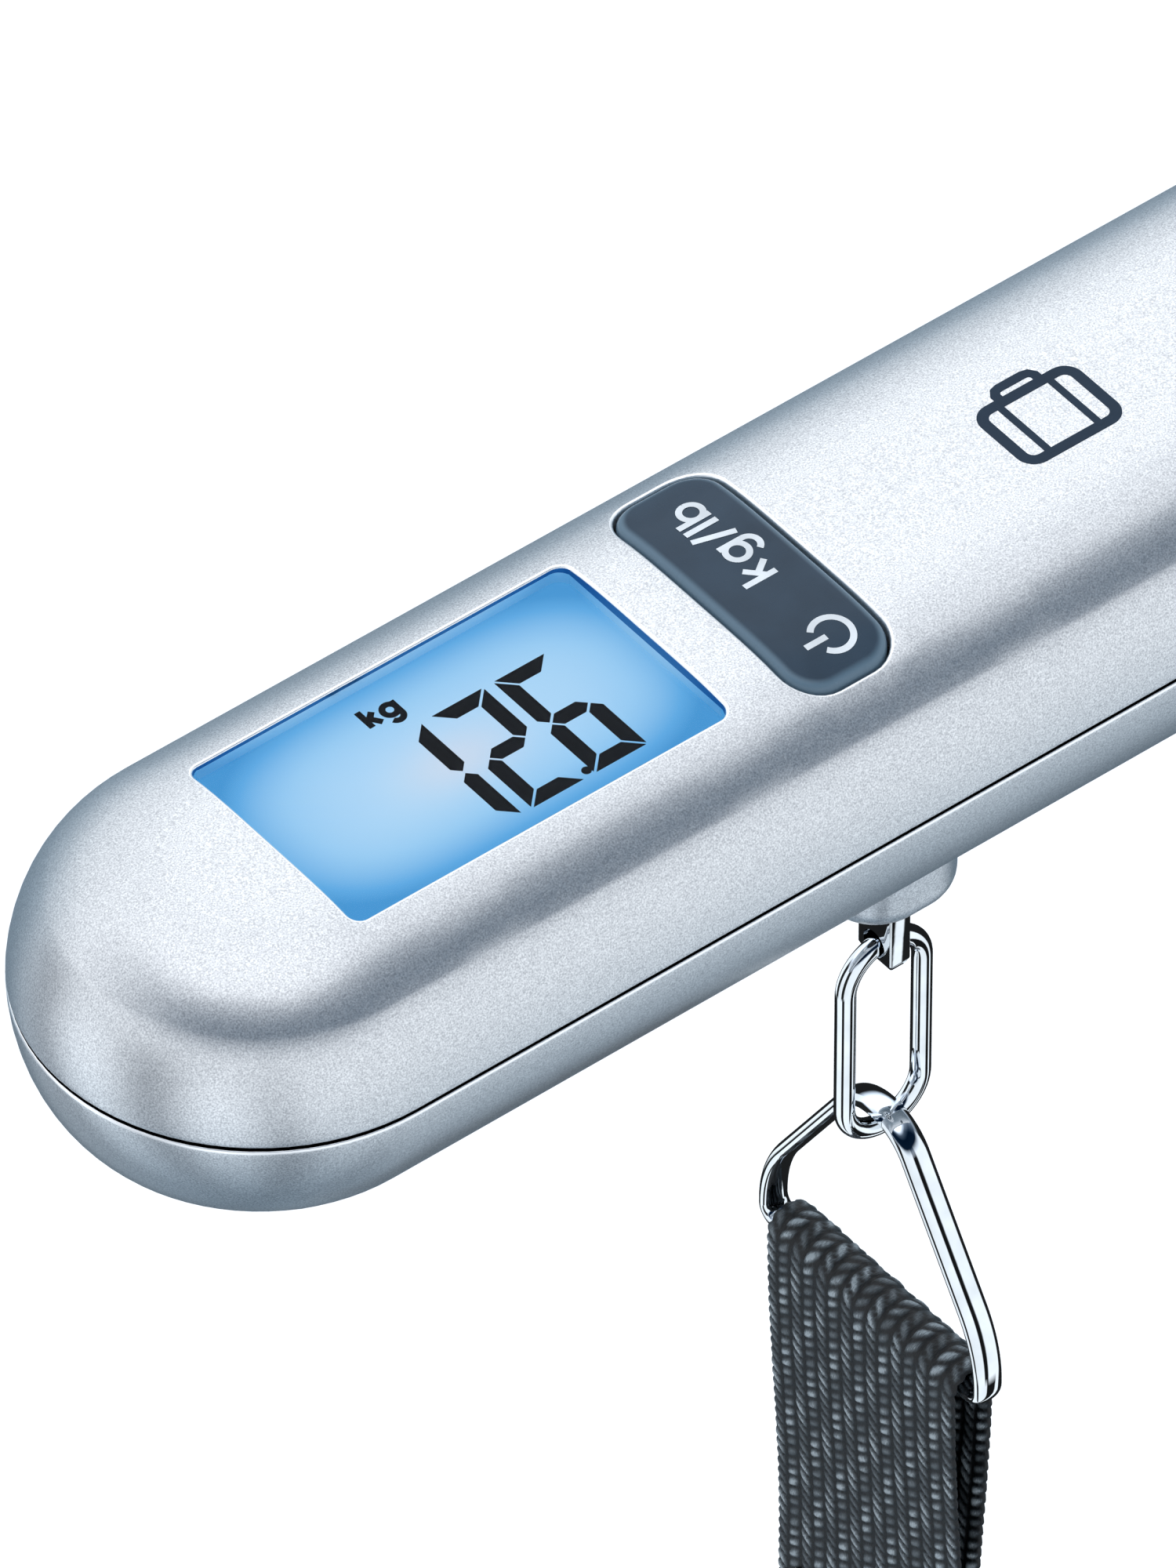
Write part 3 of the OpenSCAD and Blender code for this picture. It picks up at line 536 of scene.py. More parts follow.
def key_cap():
    solid = Solid()
    fuller, steps = 0.1, 8
    foot = drop_to(solid, rounded_rect(grow=fuller, **KEY), level(KEY_BASE))
    rings = [foot]
    for i in range(steps + 1):
        a = math.radians(90 * i / steps)
        outline = rounded_rect(grow=fuller - KEY_BEVEL * (1 - math.cos(a)), **KEY)
        down = KEY_BEVEL * (1 - math.sin(a))
        rings.append(solid.loop([(x, y, key_top(x, y) - down) for x, y in outline]))
    solid.bridge_all(rings)
    solid.cap(foot)
    solid.patch(rings[-1], [], key_top, 0.9)
    return solid.build("key_cap", 50)


# ---- printed marks

def mark(name, shapes, surface, lift, thick):
    """Flat shapes, each a list of (x, y), laid on a surface as thin closed prisms."""
    solid = Solid()
    for shape in shapes:
        solid.tube([solid.loop([(x, y, surface(x, y) + up) for x, y in shape])
                    for up in (lift - thick, lift)])
    return solid.build(name)


def ribbon_mark(name, bands, surface, lift, thick=0.03):
    """Ribbons laid on a surface: each is (points, width, closed)."""
    solid = Solid()
    for points, width, closed in bands:
        pts = [np.array(p, float) for p in points]
        n = len(pts)
        rings = []
        lift += 0.002  # crossing strokes do not share a plane
        for i in range(n):
            before = pts[i - 1] if closed or i else pts[0]
            after = pts[(i + 1) % n] if closed or i < n - 1 else pts[-1]
            d = (after - before) / np.linalg.norm(after - before)
            side = np.array([-d[1], d[0]]) * width / 2
            a, b = pts[i] + side, pts[i] - side
            rings.append(solid.loop([
                (*a, surface(*a) + lift), (*b, surface(*b) + lift),
                (*b, surface(*b) + lift - thick), (*a, surface(*a) + lift - thick)]))
        if closed:
            solid.bridge_all([*rings, rings[0]])
        else:
            solid.tube(rings)
    return solid.build(name)


def line(start, end, n=8):
    return [(start[0] + (end[0] - start[0]) * i / n, start[1] + (end[1] - start[1]) * i / n)
            for i in range(n + 1)]


def arc(cx, cy, radius, start, end, n=32):
    angles = [math.radians(start + (end - start) * i / n) for i in range(n + 1)]
    return [(cx + radius * math.cos(a), cy + radius * math.sin(a)) for a in angles]


# Strokes of plain letters on a body one unit high, each with the letter's width
GLYPHS = {
    "k": (0.72, [line((0, 0), (0, 1.45)), line((0.04, 0.42), (0.66, 1.0)), line((0.26, 0.62), (0.7, 0))]),
    "g": (0.88, [arc(0.44, 0.5, 0.44, 0, 360), line((0.88, 1.02), (0.88, -0.05)),
                 arc(0.46, -0.05, 0.42, 0, -150)]),
    "l": (0.0, [line((0, 0), (0, 1.45))]),
    "b": (0.88, [arc(0.44, 0.5, 0.44, 0, 360), line((0, 0), (0, 1.45))]),
    "/": (0.5, [line((0, -0.15), (0.5, 1.5))]),
}
LETTER_GAP = 0.42


def lettering(name, text, height, weight, place, surface, lift, thick=0.03):
    """Plain letters laid on a surface. place maps (along, up) in millimetres to (x, y)."""
    bands, along = [], 0.0
    for letter in text:
        width, strokes = GLYPHS[letter]
        for stroke in strokes:
            points = [place((along + u) * height, v * height) for u, v in stroke]
            bands.append((points, weight, False))
        along += width + LETTER_GAP
    return ribbon_mark(name, bands, surface, lift, thick)


DIGIT_WIDTH, DIGIT_HEIGHT = 4.75, 11.6
SEGMENT_T, SEGMENT_GAP = 1.27, 0.14


def segment_shapes(lit, left, bottom):
    """The lit segments of one seven-segment digit, named a to g clockwise from the top."""
    width, height, t, g = DIGIT_WIDTH, DIGIT_HEIGHT, SEGMENT_T, SEGMENT_GAP
    mid = height / 2
    across = [(g, 0), (width - g, 0), (width - t - g, t), (t + g, t)]
    upright = [(0, g), (0, mid - t / 2 - g), (t / 2, mid - g), (t, mid - t / 2 - g), (t, t + g)]
    middle = [(t / 2 + g, mid), (t + g, mid - t / 2), (width - t - g, mid - t / 2),
              (width - t / 2 - g, mid), (width - t - g, mid + t / 2), (t + g, mid + t / 2)]
    over = [(x, height - y) for x, y in upright]
    shapes = {
        "d": across,
        "a": [(x, height - y) for x, y in across],
        "e": upright,
        "f": over,
        "c": [(width - x, y) for x, y in upright],
        "b": [(width - x, y) for x, y in over],
        "g": middle,
    }
    return [[(left + x, bottom + y) for x, y in shapes[s]] for s in lit]


# ---- hanging chain

def in_xz(x, z, depth):
    return (x, depth, z)


def in_yz(y, z, depth):
    return (depth, y, z)


def round_section(radius):
    n = 28
    return [(radius * math.cos(2 * math.pi * i / n), radius * math.sin(2 * math.pi * i / n))
            for i in range(n)]


def flat_section(half_t, half_depth):
    """A flat wire's section with fully round edges, a little crowned on its flats."""
    points, n = [], 36
    for i in range(n):
        a = 2 * math.pi * i / n
        c, s = math.cos(a), math.sin(a)
        points.append((half_t * c, half_depth * math.copysign(abs(s) ** 0.9, s)))
    return points


def both_sides(right, top=()):
    """An outline of (across, up, bend) from its right-hand corners, upwards, and its top."""
    return [*right, *top, *((-across, up, bend) for across, up, bend in reversed(right))]


link_top = joint_at["link_swing"].z
link_half = (cad("oval_link")[1].x - cad("oval_link")[0].x) / 2 - LINK_WIRE
link_bottom = cad("oval_link")[0].z + LINK_WIRE
bar_z = joint_at["strap_swing"].z
ring_apex = cad("triangle_ring")[1].z - RING_HALF_T
ring_half = cad("triangle_ring")[1].y - RING_HALF_T
eye_z = joint_at["eye_swing"].z


def oval_link():
    bend = link_half - 0.01
    corners = both_sides([(link_half, link_bottom, bend), (link_half, link_top, bend)])
    return sweep("link_wire", corners, round_section(LINK_WIRE), in_xz)


def triangle_ring():
    lean = math.radians(32.5)
    peak_bend = 4.6
    peak = ring_apex + peak_bend * (1 / math.sin(lean) - 1)
    shoulder = peak - ring_half / math.tan(lean)
    corners = both_sides([(ring_half, bar_z, 1.3), (ring_half, shoulder, 12)], [(0, peak, peak_bend)])
    return sweep("ring_wire", corners, flat_section(RING_HALF_T, RING_HALF_DEPTH), in_yz)


def swivel_eye():
    half = cad("swivel_eye")[1].y - EYE_WIRE
    corners = both_sides([(4, eye_z - 12.1, 2.4), (half, eye_z - 5.5, 2.4), (half, eye_z, 1.8)])
    wire = sweep("eye_wire", corners, round_section(EYE_WIRE), in_yz)
    stem = [(1.1, -11.6), (1.7, -12.0), (1.9, -12.8), (1.9, -22.9), (3.0, -23.0), (3.0, -24.2),
            (2.7, -24.5), (1e-3, -24.5), (1e-3, -11.6)]
    return carve(wire, lathe("stem", from_eye(stem), 32), "UNION")


def pull_post():
    low, high = cad("pull_post")
    collar = -8.0
    half_t, half_w = 0.95, 1.9
    solid = Solid()
    loops = []
    rounded_end = ((low.z, 0.35), (low.z + 0.06, 0.27), (low.z + 0.62, 0.03), (low.z + 0.7, 0))
    for z, inset in (*rounded_end, (collar, 0)):
        bar = rounded_rect(0, 0, 2 * (half_t - inset), 2 * (half_w - inset), 0.16, corner=3, side=2)
        loops.append(drop_to(solid, bar, level(z)))
    solid.tube(loops)
    post_bar = solid.build("post_bar")
    carve(post_bar, cross_rod("hole", low.z + 1.75), "DIFFERENCE")
    stud = lathe("stud", [(1e-3, high.z), (1.7, high.z), (2.0, high.z - 0.3), (2.0, collar), (3.3, collar),
                          (3.5, -8.2), (3.5, -9.2), (3.3, -9.4), (1e-3, -9.4)])
    return carve(post_bar, stud, "UNION")


def cross_rod(name, height):
    """A round rod along X, the size of the hole in the pull post."""
    solid = Solid()
    solid.tube([solid.loop([(x, y, height + z) for y, z in circle(0, 0, 1.2)]) for x in (-5, 5)])
    return solid.build(name)


def from_eye(profile):
    """A lathe profile whose heights are given from the swivel eye's bar."""
    return [(r, eye_z + z) for r, z in profile]


def hook_body():
    outline = [(4.1, -17, 2), (-4.1, -17, 2), (-12.1, -25.5, 6), (-12.1, -62.1, 12.1),
               (12.1, -62.1, 12.1), (12.1, -38.5, 2.5), (7.1, -38.5, 2.499), (7.1, -57.1, 7.1),
               (-7.1, -57.1, 7.1), (-7.1, -30, 3), (-3.9, -25.1, 1), (3.9, -25.1, 1),
               (6.9, -30, 2.0), (11.6, -30, 3), (11.6, -25.6, 3)]
    casting = slab("hook_casting", outline, 2.5, 1.5, lambda y, z, depth: (depth, y, eye_z + z))
    barrel = [(1e-3, -14), (3.6, -14), (4.2, -14.25), (4.4, -14.9), (4.4, -24.8), (4.2, -25.3),
              (3.9, -25.5), (1e-3, -25.5)]
    carve(casting, lathe("barrel", from_eye(barrel)), "UNION")
    bore = [(1e-3, -13), (2.25, -13), (2.25, -14), (2.0, -14.3), (2.0, -22.7), (3.3, -22.7),
            (3.3, -25.2), (3.6, -25.5), (3.6, -27), (1e-3, -27)]
    return carve(casting, lathe("bore", from_eye(bore)), "DIFFERENCE")


def hook_gate():
    pivot = joint_at["gate_open"]
    fall = (GATE_TIP[0] - GATE_PIVOT[0], GATE_TIP[1] - GATE_PIVOT[1])
    lean, reach = math.atan2(-fall[0], -fall[1]), math.hypot(*fall)
    c, s = math.cos(lean), math.sin(lean)

    def place(y, z, depth):
        return (depth, pivot.y + c * y + s * z, pivot.z - s * y + c * z)

    half, top = 1.5, -4.1
    bar = slab("gate_casting", [(-half, -reach, 1.1), (half, -reach, 1.1), (half, top, 0.9),
                                (-half, top, 0.9)], 3.7, 0.8, place)
    for out in (-CHEEK_OUT, CHEEK_OUT):
        cheek = slab("cheek", [(-1.3, -6, 0.5), (1.3, -6, 0.5), (2.4, 2.4, 2.39), (-2.4, 2.4, 2.39)],
                     0.5, 0.2, lambda y, z, depth, out=out: place(y, z, depth + out))
        carve(bar, cheek, "UNION")
    return bar


def spring_leaf():
    """The flat spring behind the gate, from its root in the hook to its free end on the gate."""
    down = np.linspace(25.9, 33.2, 16)
    out = np.interp(down, (25.9, 30.4, 33.2), (4.35, 4.85, 5.35))
    half_wide, half_thick = 1.4, 0.15
    section = ((-half_wide, -half_thick), (half_wide, -half_thick),
               (half_wide, half_thick), (-half_wide, half_thick))
    solid = Solid()
    solid.tube([solid.loop([(x, y + t, eye_z + z) for x, t in section]) for y, z in zip(out, -down)])
    return solid.build("spring_leaf")


# ---- strap

STRAP_HALF_W = (cad("webbing_strap")[1].y - cad("webbing_strap")[0].y) / 2
LOOP_R = 1.77  # from the bar's centre to the middle of the tape
PLY = 0.45  # half the tape's thickness
UPPER_MEET, UPPER_OVERLAP = 32, 56
LOWER_MEET, LOWER_OVERLAP = 14, 36
LEAVE = 7  # how far past its overlap the tape takes to reach the middle
RIBS = 15
RIB_PITCH = 2 * STRAP_HALF_W / RIBS
YARN_PITCH = 1.12
YARN_LEAN = 0.42
RELIEF = 0.32
EDGE_BULGE = 0.24


def ease(t):
    t = min(max(t, 0), 1)
    return t * t * (3 - 2 * t)


def strap_line():
    """The middle line of the tape in the XZ plane, from one cut end to the other."""
    step = 0.26

    def ply(away, meet):
        return PLY + (LOOP_R - PLY) * (1 - ease(away / meet))

    def single(away, meet, overlap):
        if away < overlap - 2:
            return ply(away, meet)
        return PLY * (1 - ease((away - overlap + 1) / LEAVE))

    def round_bar(bar, start):
        return [(LOOP_R * math.cos(a), bar + LOOP_R * math.sin(a))
                for a in np.linspace(start, start + math.pi, 22)]

    points = [(ply(down, UPPER_MEET), bar_z - down) for down in np.arange(UPPER_OVERLAP, 0, -step)]
    points += round_bar(bar_z, 0)
    total = bar_z - eye_z
    for down in np.arange(step, total, step):
        if down < total / 2:
            x = single(down, UPPER_MEET, UPPER_OVERLAP)
        else:
            x = single(total - down, LOWER_MEET, LOWER_OVERLAP)
        points.append((-x, bar_z - down))
    points += round_bar(eye_z, math.pi)
    points += [(ply(up, LOWER_MEET), eye_z + up) for up in np.arange(step, LOWER_OVERLAP, step)]
    return np.array(points)


def weave(across, along, phase):
    """Height of the woven yarns, from 0 in the creases to 1 on the crowns."""
    column = (across + STRAP_HALF_W) / RIB_PITCH
    number = np.clip(np.floor(column), 0, RIBS - 1)
    u = (column - number - 0.5) * 2
    lean = 1 - 2 * np.mod(number, 2)
    waver = 0.05 * np.sin(along * 1.7 + number * 2.3) + 0.04 * np.sin(along * 4.1 + number * 5.1)
    seat = along / YARN_PITCH + YARN_LEAN * u * lean + 0.5 * np.mod(number, 2) + phase + waver
    yarn = np.abs(np.sin(np.pi * seat)) ** 0.6
    own = 0.85 + 0.15 * np.sin(np.floor(seat) * 7.3 + number * 3.7)
    return (1 - np.abs(u) ** 2.6) ** 0.6 * yarn * own


def webbing_strap():
    path = strap_line()
    steps = np.linalg.norm(np.diff(path, axis=0), axis=1)
    along = np.concatenate([[0], np.cumsum(steps)])
    tangent = np.gradient(path, along, axis=0)
    tangent /= np.linalg.norm(tangent, axis=1)[:, None]
    normal = np.stack([tangent[:, 1], -tangent[:, 0]], 1)
    columns = RIBS * 7
    across = np.linspace(-STRAP_HALF_W, STRAP_HALF_W, columns + 1)
    edge = (1 - np.abs(across / STRAP_HALF_W) ** 14) ** 0.5
    ends = np.minimum(1, np.minimum(along, along[-1] - along) / 0.5) ** 0.5
    body = PLY - RELIEF
    verts, crowns = [], []
    for side, phase in ((1, 0.0), (-1, 0.5)):
        crowns.append(weave(across[None, :], along[:, None], phase))
        height = crowns[-1] * RELIEF
        half = (body + height) * (0.3 + 0.7 * edge)[None, :] * (0.25 + 0.75 * ends)[:, None]
        x = path[:, 0, None] + side * normal[:, 0, None] * half
        z = path[:, 1, None] + side * normal[:, 1, None] * half
        bulge = EDGE_BULGE * np.abs(np.sin(np.pi * along / YARN_PITCH))[:, None] - EDGE_BULGE
        y = across[None, :] + np.sign(across) * np.abs(across / STRAP_HALF_W)[None, :] ** 12 * bulge
        verts.append(np.stack([x, y, z], -1))
    rows, cols = verts[0].shape[:2]
    index = np.arange(2 * rows * cols).reshape(2, rows, cols)
    faces = []
    for a, turn in ((index[0], 1), (index[1], -1)):
        quads = np.stack([a[:-1, :-1], a[:-1, 1:], a[1:, 1:], a[1:, :-1]], -1).reshape(-1, 4)
        faces.append(quads[:, ::turn])
    for a, b in ((index[0][:, 0], index[1][:, 0]), (index[1][:, -1], index[0][:, -1]),
                 (index[1][0], index[0][0]), (index[0][-1], index[1][-1])):
        faces.append(np.stack([a[:-1], a[1:], b[1:], b[:-1]], -1))
    points = np.concatenate([v.reshape(-1, 3) for v in verts])
    obj = make_object("strap_tape", points, np.concatenate(faces).tolist(), 180)
    laid_flat = np.stack(np.broadcast_arrays(across[None, :], along[:, None]), -1).reshape(-1, 2)
    coords = np.tile(laid_flat, (2, 1))
    uv = obj.data.uv_layers.new(name="tape")
    corner = np.zeros(len(obj.data.loops), int)
    obj.data.loops.foreach_get("vertex_index", corner)
    uv.data.foreach_set("uv", (coords[corner] * MM).ravel())
    crown = obj.data.attributes.new("crown", "FLOAT", "POINT")
    crown.data.foreach_set("value", np.concatenate([c.ravel() for c in crowns]))
    return obj, along[-1]


def stitches(name, low, high):
    """A sewn box with a cross in it, on both faces of the doubled tape."""
    half = STRAP_HALF_W - 2.2
    corners = [(-half, low), (half, low), (half, high), (-half, high)]
    runs = [(corners[i], corners[j]) for i, j in ((0, 1), (1, 2), (2, 3), (3, 0), (0, 2), (1, 3))]
    pitch, length, thick = 2.6, 2.1, 0.2
    solid = Solid()
    for (y0, z0), (y1, z1) in runs:
        run = math.hypot(y1 - y0, z1 - z0)
        dy, dz = (y1 - y0) / run, (z1 - z0) / run
        for i in range(round(run / pitch)):
            at = (i + 0.5) * run / round(run / pitch)
            for face in (-1, 1):
                rings = []
                for k in range(7):
                    t = -1 + k / 3
                    swell = math.sqrt(max(1 - t * t, 0.04))
                    cy, cz = y0 + dy * (at + t * length / 2), z0 + dz * (at + t * length / 2)
                    cx = face * (2 * PLY - 0.12 + 0.1 * swell)
                    ring = []
                    for n in range(8):
                        a = math.pi / 4 * n
                        side, out = thick * swell * math.cos(a), 0.7 * thick * swell * math.sin(a)
                        ring.append((cx + out, cy - dz * side, cz + dy * side))
                    rings.append(solid.loop(ring))
                solid.tube(rings)
    return solid.build(name)


# ---- finishes

class Nodes:
    """A tree of shader nodes, with short calls for building it."""

    def __init__(self, tree):
        self.tree = tree

    def node(self, kind, **settings):
        node = self.tree.nodes.new(kind)
        for key, value in settings.items():
            setattr(node, key, value)
        return node

    def link(self, output, node, socket):
        self.tree.links.new(output, node.inputs[socket])

    def feed(self, sockets, values):
        """Puts numbers and colours into sockets, and links other nodes' outputs to them."""
        for socket, value in zip(sockets, values):
            if isinstance(value, bpy.types.NodeSocket):
                self.tree.links.new(value, socket)
            else:
                socket.default_value = value

    def split(self, vector):
        node = self.node("ShaderNodeSeparateXYZ")
        self.link(vector, node, "Vector")
        return node.outputs

    def math(self, operation, *values, clamp=False):
        node = self.node("ShaderNodeMath", operation=operation, use_clamp=clamp)
        self.feed(node.inputs, values)
        return node.outputs[0]

    def times(self, a, b):
        return self.math("MULTIPLY", a, b)

    def mix(self, fac, a, b):
        """Colour a where fac is 0, colour b where it is 1."""
        node = self.node("ShaderNodeMix", data_type="RGBA")
        self.feed((node.inputs[0], node.inputs[6], node.inputs[7]), (fac, a, b))
        return node.outputs[2]

    def ramp(self, fac, stops):
        node = self.node("ShaderNodeValToRGB")
        elements = node.color_ramp.elements
        while len(elements) < len(stops):
            elements.new(0.5)
        for element, (at, color) in zip(elements, stops):
            element.position = at
            element.color = (*color, 1)
        self.link(fac, node, "Fac")
        return node.outputs["Color"]


class Finish(Nodes):
    """A material, with short calls for grain, colour and bump."""

    def __init__(self, name, color, roughness, metallic=0.0, **sockets):
        self.material = bpy.data.materials.new(name)
        self.material.use_nodes = True
        super().__init__(self.material.node_tree)
        self.surface = self.tree.nodes["Principled BSDF"]
        self.set("Base Color", (*color, 1))
        self.set("Roughness", roughness)
        self.set("Metallic", metallic)
        for socket, value in sockets.items():
            self.set(socket.replace("_", " "), value)
        self.place = self.node("ShaderNodeTexCoord").outputs["Object"]

    def set(self, socket, value):
        self.surface.inputs[socket].default_value = value

    def stretched(self, scale):
        mapping = self.node("ShaderNodeMapping")
        mapping.inputs["Scale"].default_value = scale
        self.link(self.place, mapping, "Vector")
        return mapping.outputs["Vector"]

    def noise(self, size, detail=3.0, stretch=(1, 1, 1)):
        """Noise whose features are about that many millimetres across."""
        node = self.node("ShaderNodeTexNoise")
        node.inputs["Scale"].default_value = 1
        node.inputs["Detail"].default_value = detail
        per_metre = 1 / (size * MM)
        self.link(self.stretched([s * per_metre for s in stretch]), node, "Vector")
        return node.outputs["Fac"]

    def base(self, output):
        self.link(output, self.surface, "Base Color")

    def colour(self, fac, dark, light):
        self.base(self.ramp(fac, [(0.3, dark), (0.7, light)]))

    def rough(self, fac, low, high):
        node = self.node("ShaderNodeMapRange")
        node.inputs["To Min"].default_value = low
        node.inputs["To Max"].default_value = high
        self.link(fac, node, "Value")
        self.link(node.outputs["Result"], self.surface, "Roughness")

    def bump(self, height, depth, strength=1.0):
        """Adds relief of that depth in millimetres."""
        node = self.node("ShaderNodeBump")
        node.inputs["Strength"].default_value = strength
        node.inputs["Distance"].default_value = depth * MM
        self.link(height, node, "Height")
        self.link(node.outputs["Normal"], self.surface, "Normal")


def outline_distance(f, x, y, shape, grow):
    """How far (x, y) lies outside a rounded rectangle."""
    radius = (shape["radius"] + grow) * MM
    reach_x = (shape["length"] / 2 - shape["radius"]) * MM
    reach_y = (shape["width"] / 2 - shape["radius"]) * MM
    past_x = f.math("SUBTRACT", f.math("ABSOLUTE", f.math("SUBTRACT", x, shape["cx"] * MM)), reach_x)
    past_y = f.math("SUBTRACT", f.math("ABSOLUTE", y), reach_y)
    past_x, past_y = f.math("MAXIMUM", past_x, 0.0), f.math("MAXIMUM", past_y, 0.0)
    squares = f.math("ADD", f.times(past_x, past_x), f.times(past_y, past_y))
    return f.math("SUBTRACT", f.math("SQRT", squares), radius)


RIM_HIGHLIGHT = 0.26  # width of the painted highlight round the openings' mouths
BLUE_WALL = 10.8  # height above which the display opening's wall is painted dark blue, for its shade and the display's light


def silver_paint():
    """Fine-grained metallic paint with painted highlights round the openings and under the seam, painted
    shade and display-blue light on the display opening's wall, and painted shade inside the seam.
    """
    f = Finish("silver_paint", (0.65, 0.66, 0.67), 0.3, 0.92)
    grain = f.noise(0.13, 2.0)
    coat = f.ramp(grain, [(0.3, (0.45, 0.46, 0.48)), (0.7, (0.85, 0.86, 0.87))])
    x, y, z = f.split(f.place)
    to_window = outline_distance(f, x, y, WINDOW, 0)
    to_key = outline_distance(f, x, y, KEY, KEY_GAP)
    above = f.math("GREATER_THAN", z, POCKET_TOP * MM)
    to_opening = f.math("MINIMUM", to_window, to_key)
    # painted highlight: white paint on the rounded mouths of the display window and the key opening
    rim = f.times(f.math("LESS_THAN", to_opening, RIM_HIGHLIGHT * MM), above)
    # painted highlight: a white line on the lower shell's edge just under the seam
    seam_highlight = f.math("COMPARE", z, -(SEAM + 0.15) * MM, 0.13 * MM)
    bright = f.math("MAXIMUM", rim, seam_highlight)
    upper_wall = f.math("GREATER_THAN", z, BLUE_WALL * MM)
    # painted shade and display light: the upper wall of the display's opening turns dark blue
    display_light_on_wall = f.times(f.math("LESS_THAN", to_window, 0.02 * MM), upper_wall)
    # painted shade: inside the seam the shells are near black, bare plastic darkened as shade
    seam_shade = f.math("LESS_THAN", f.math("ABSOLUTE", z), (SEAM + 0.03) * MM)
    # the painted highlights are pure white
    painted = f.mix(bright, coat, (1.0, 1.0, 1.0, 1))
    tinted = f.mix(display_light_on_wall, painted, (0.05, 0.2, 0.42, 1))
    f.base(f.mix(seam_shade, tinted, (0.004, 0.004, 0.005, 1)))
    f.rough(f.noise(0.35, 2.0), 0.25, 0.36)
    f.bump(grain, 0.012, 0.5)
    return f.material


def chrome(name, color):
    """Mirror-smooth plating with a faint unevenness from polishing."""
    f = Finish(name, color, 0.0, 1.0)
    f.colour(f.noise(2.5, 4.0), tuple(0.84 * c for c in color), color)
    f.bump(f.noise(1.6, 2.0), 0.02, 0.22)
    return f.material


def plastic(name, color, roughness, grain=0.25, **sockets):
    """Moulded plastic with a fine skin and slight unevenness of colour."""
    spread = 0.12
    f = Finish(name, color, roughness, 0.0, **sockets)
    fine = f.noise(grain, 3.0)
    light = tuple(min(1, c * (1 + spread)) for c in color)
    dark = tuple(c * (1 - spread) for c in color)
    f.colour(f.noise(3.0, 4.0), dark, light)
    f.rough(fine, max(0.05, roughness - 0.08), min(1, roughness + 0.08))
    f.bump(fine, 0.01, 0.4)
    return f.material


def metal(name, color, roughness, brushed=(1, 1, 1)):
    """Bare or plated metal with brush lines along its least stretched direction."""
    f = Finish(name, color, roughness, 1.0)
    lines = f.noise(0.3, 4.0, brushed)
    f.colour(f.noise(2.5, 4.0), tuple(0.8 * c for c in color), color)
    f.rough(lines, max(0.05, roughness - 0.1), roughness + 0.12)
    f.bump(lines, 0.008, 0.4)
    return f.material


def display_blue():
    """Back-lit liquid crystal: light in the middle, deeper blue and shaded at the edges."""
    f = Finish("lcd_blue", (0.3, 0.5, 0.75), 0.35)
    x, y = f.split(f.place)[:2]

    def from_middle(axis, middle, reach):
        return f.times(f.math("SUBTRACT", axis, middle * MM), 1 / (reach * MM))

    u, v = from_middle(x, -38.3, 17.2), from_middle(y, 0.9, 9.9)
    u_edge = f.math("POWER", f.math("ABSOLUTE", u), 4.0)
    v_edge = f.math("POWER", f.math("ABSOLUTE", v), 2.4)
    edge = f.math("ADD", f.times(u_edge, 0.75), v_edge)
    blue = f.ramp(edge, [(0.0, (0.44, 0.68, 0.88)), (0.3, (0.33, 0.6, 0.84)),
                         (0.75, (0.12, 0.4, 0.72)), (1.0, (0.07, 0.31, 0.62))])
    warm_u, warm_v = from_middle(x, -39.0, 5.0), from_middle(y, 0.2, 3.0)
    spot = f.math("ADD", f.times(warm_u, warm_u), f.times(warm_v, warm_v))
    glow = f.times(f.math("EXPONENT", f.times(spot, -1.2)), 0.55)
    f.link(f.mix(glow, blue, (0.74, 0.72, 0.76, 1)), f.surface, "Emission Color")
    f.set("Base Color", (0.03, 0.07, 0.12, 1))
    f.set("Emission Strength", 0.9)
    f.bump(f.noise(0.3, 2.0), 0.001, 0.1)
    return f.material


def clear_lens():
    f = Finish("clear_lens", (1, 1, 1), 0.0, 0.0, Transmission_Weight=1.0, IOR=1.08,
               Specular_IOR_Level=0.05)
    f.colour(f.noise(8, 2.0), (0.95, 0.975, 1.0), (1, 1, 1))
    return f.material


def slate_key():
    """Glossy moulded key, with a painted highlight along its rounded edge."""
    f = Finish("slate_key", (0.02, 0.045, 0.08), 0.3, 0.0, Coat_Weight=0.12, Coat_Roughness=0.12,
               Specular_IOR_Level=0.2)
    face = f.ramp(f.noise(4, 3.0), [(0.3, (0.015, 0.037, 0.064)), (0.7, (0.022, 0.05, 0.084))])
    x, y = f.split(f.place)[:2]
    # painted highlight: the colour grows pale over the bevel near the key's outline
    inside = outline_distance(f, x, y, KEY, 0)
    edge = f.node("ShaderNodeMapRange", interpolation_type="SMOOTHSTEP")
    edge.inputs["From Min"].default_value = -KEY_BEVEL * MM
    edge.inputs["From Max"].default_value = -0.2 * MM
    f.link(inside, edge, "Value")
    f.base(f.mix(edge.outputs["Result"], face, (0.13, 0.2, 0.26, 1)))
    f.rough(f.noise(0.8, 3.0), 0.2, 0.32)
    f.bump(f.noise(0.3, 2.0), 0.004, 0.4)
    return f.material


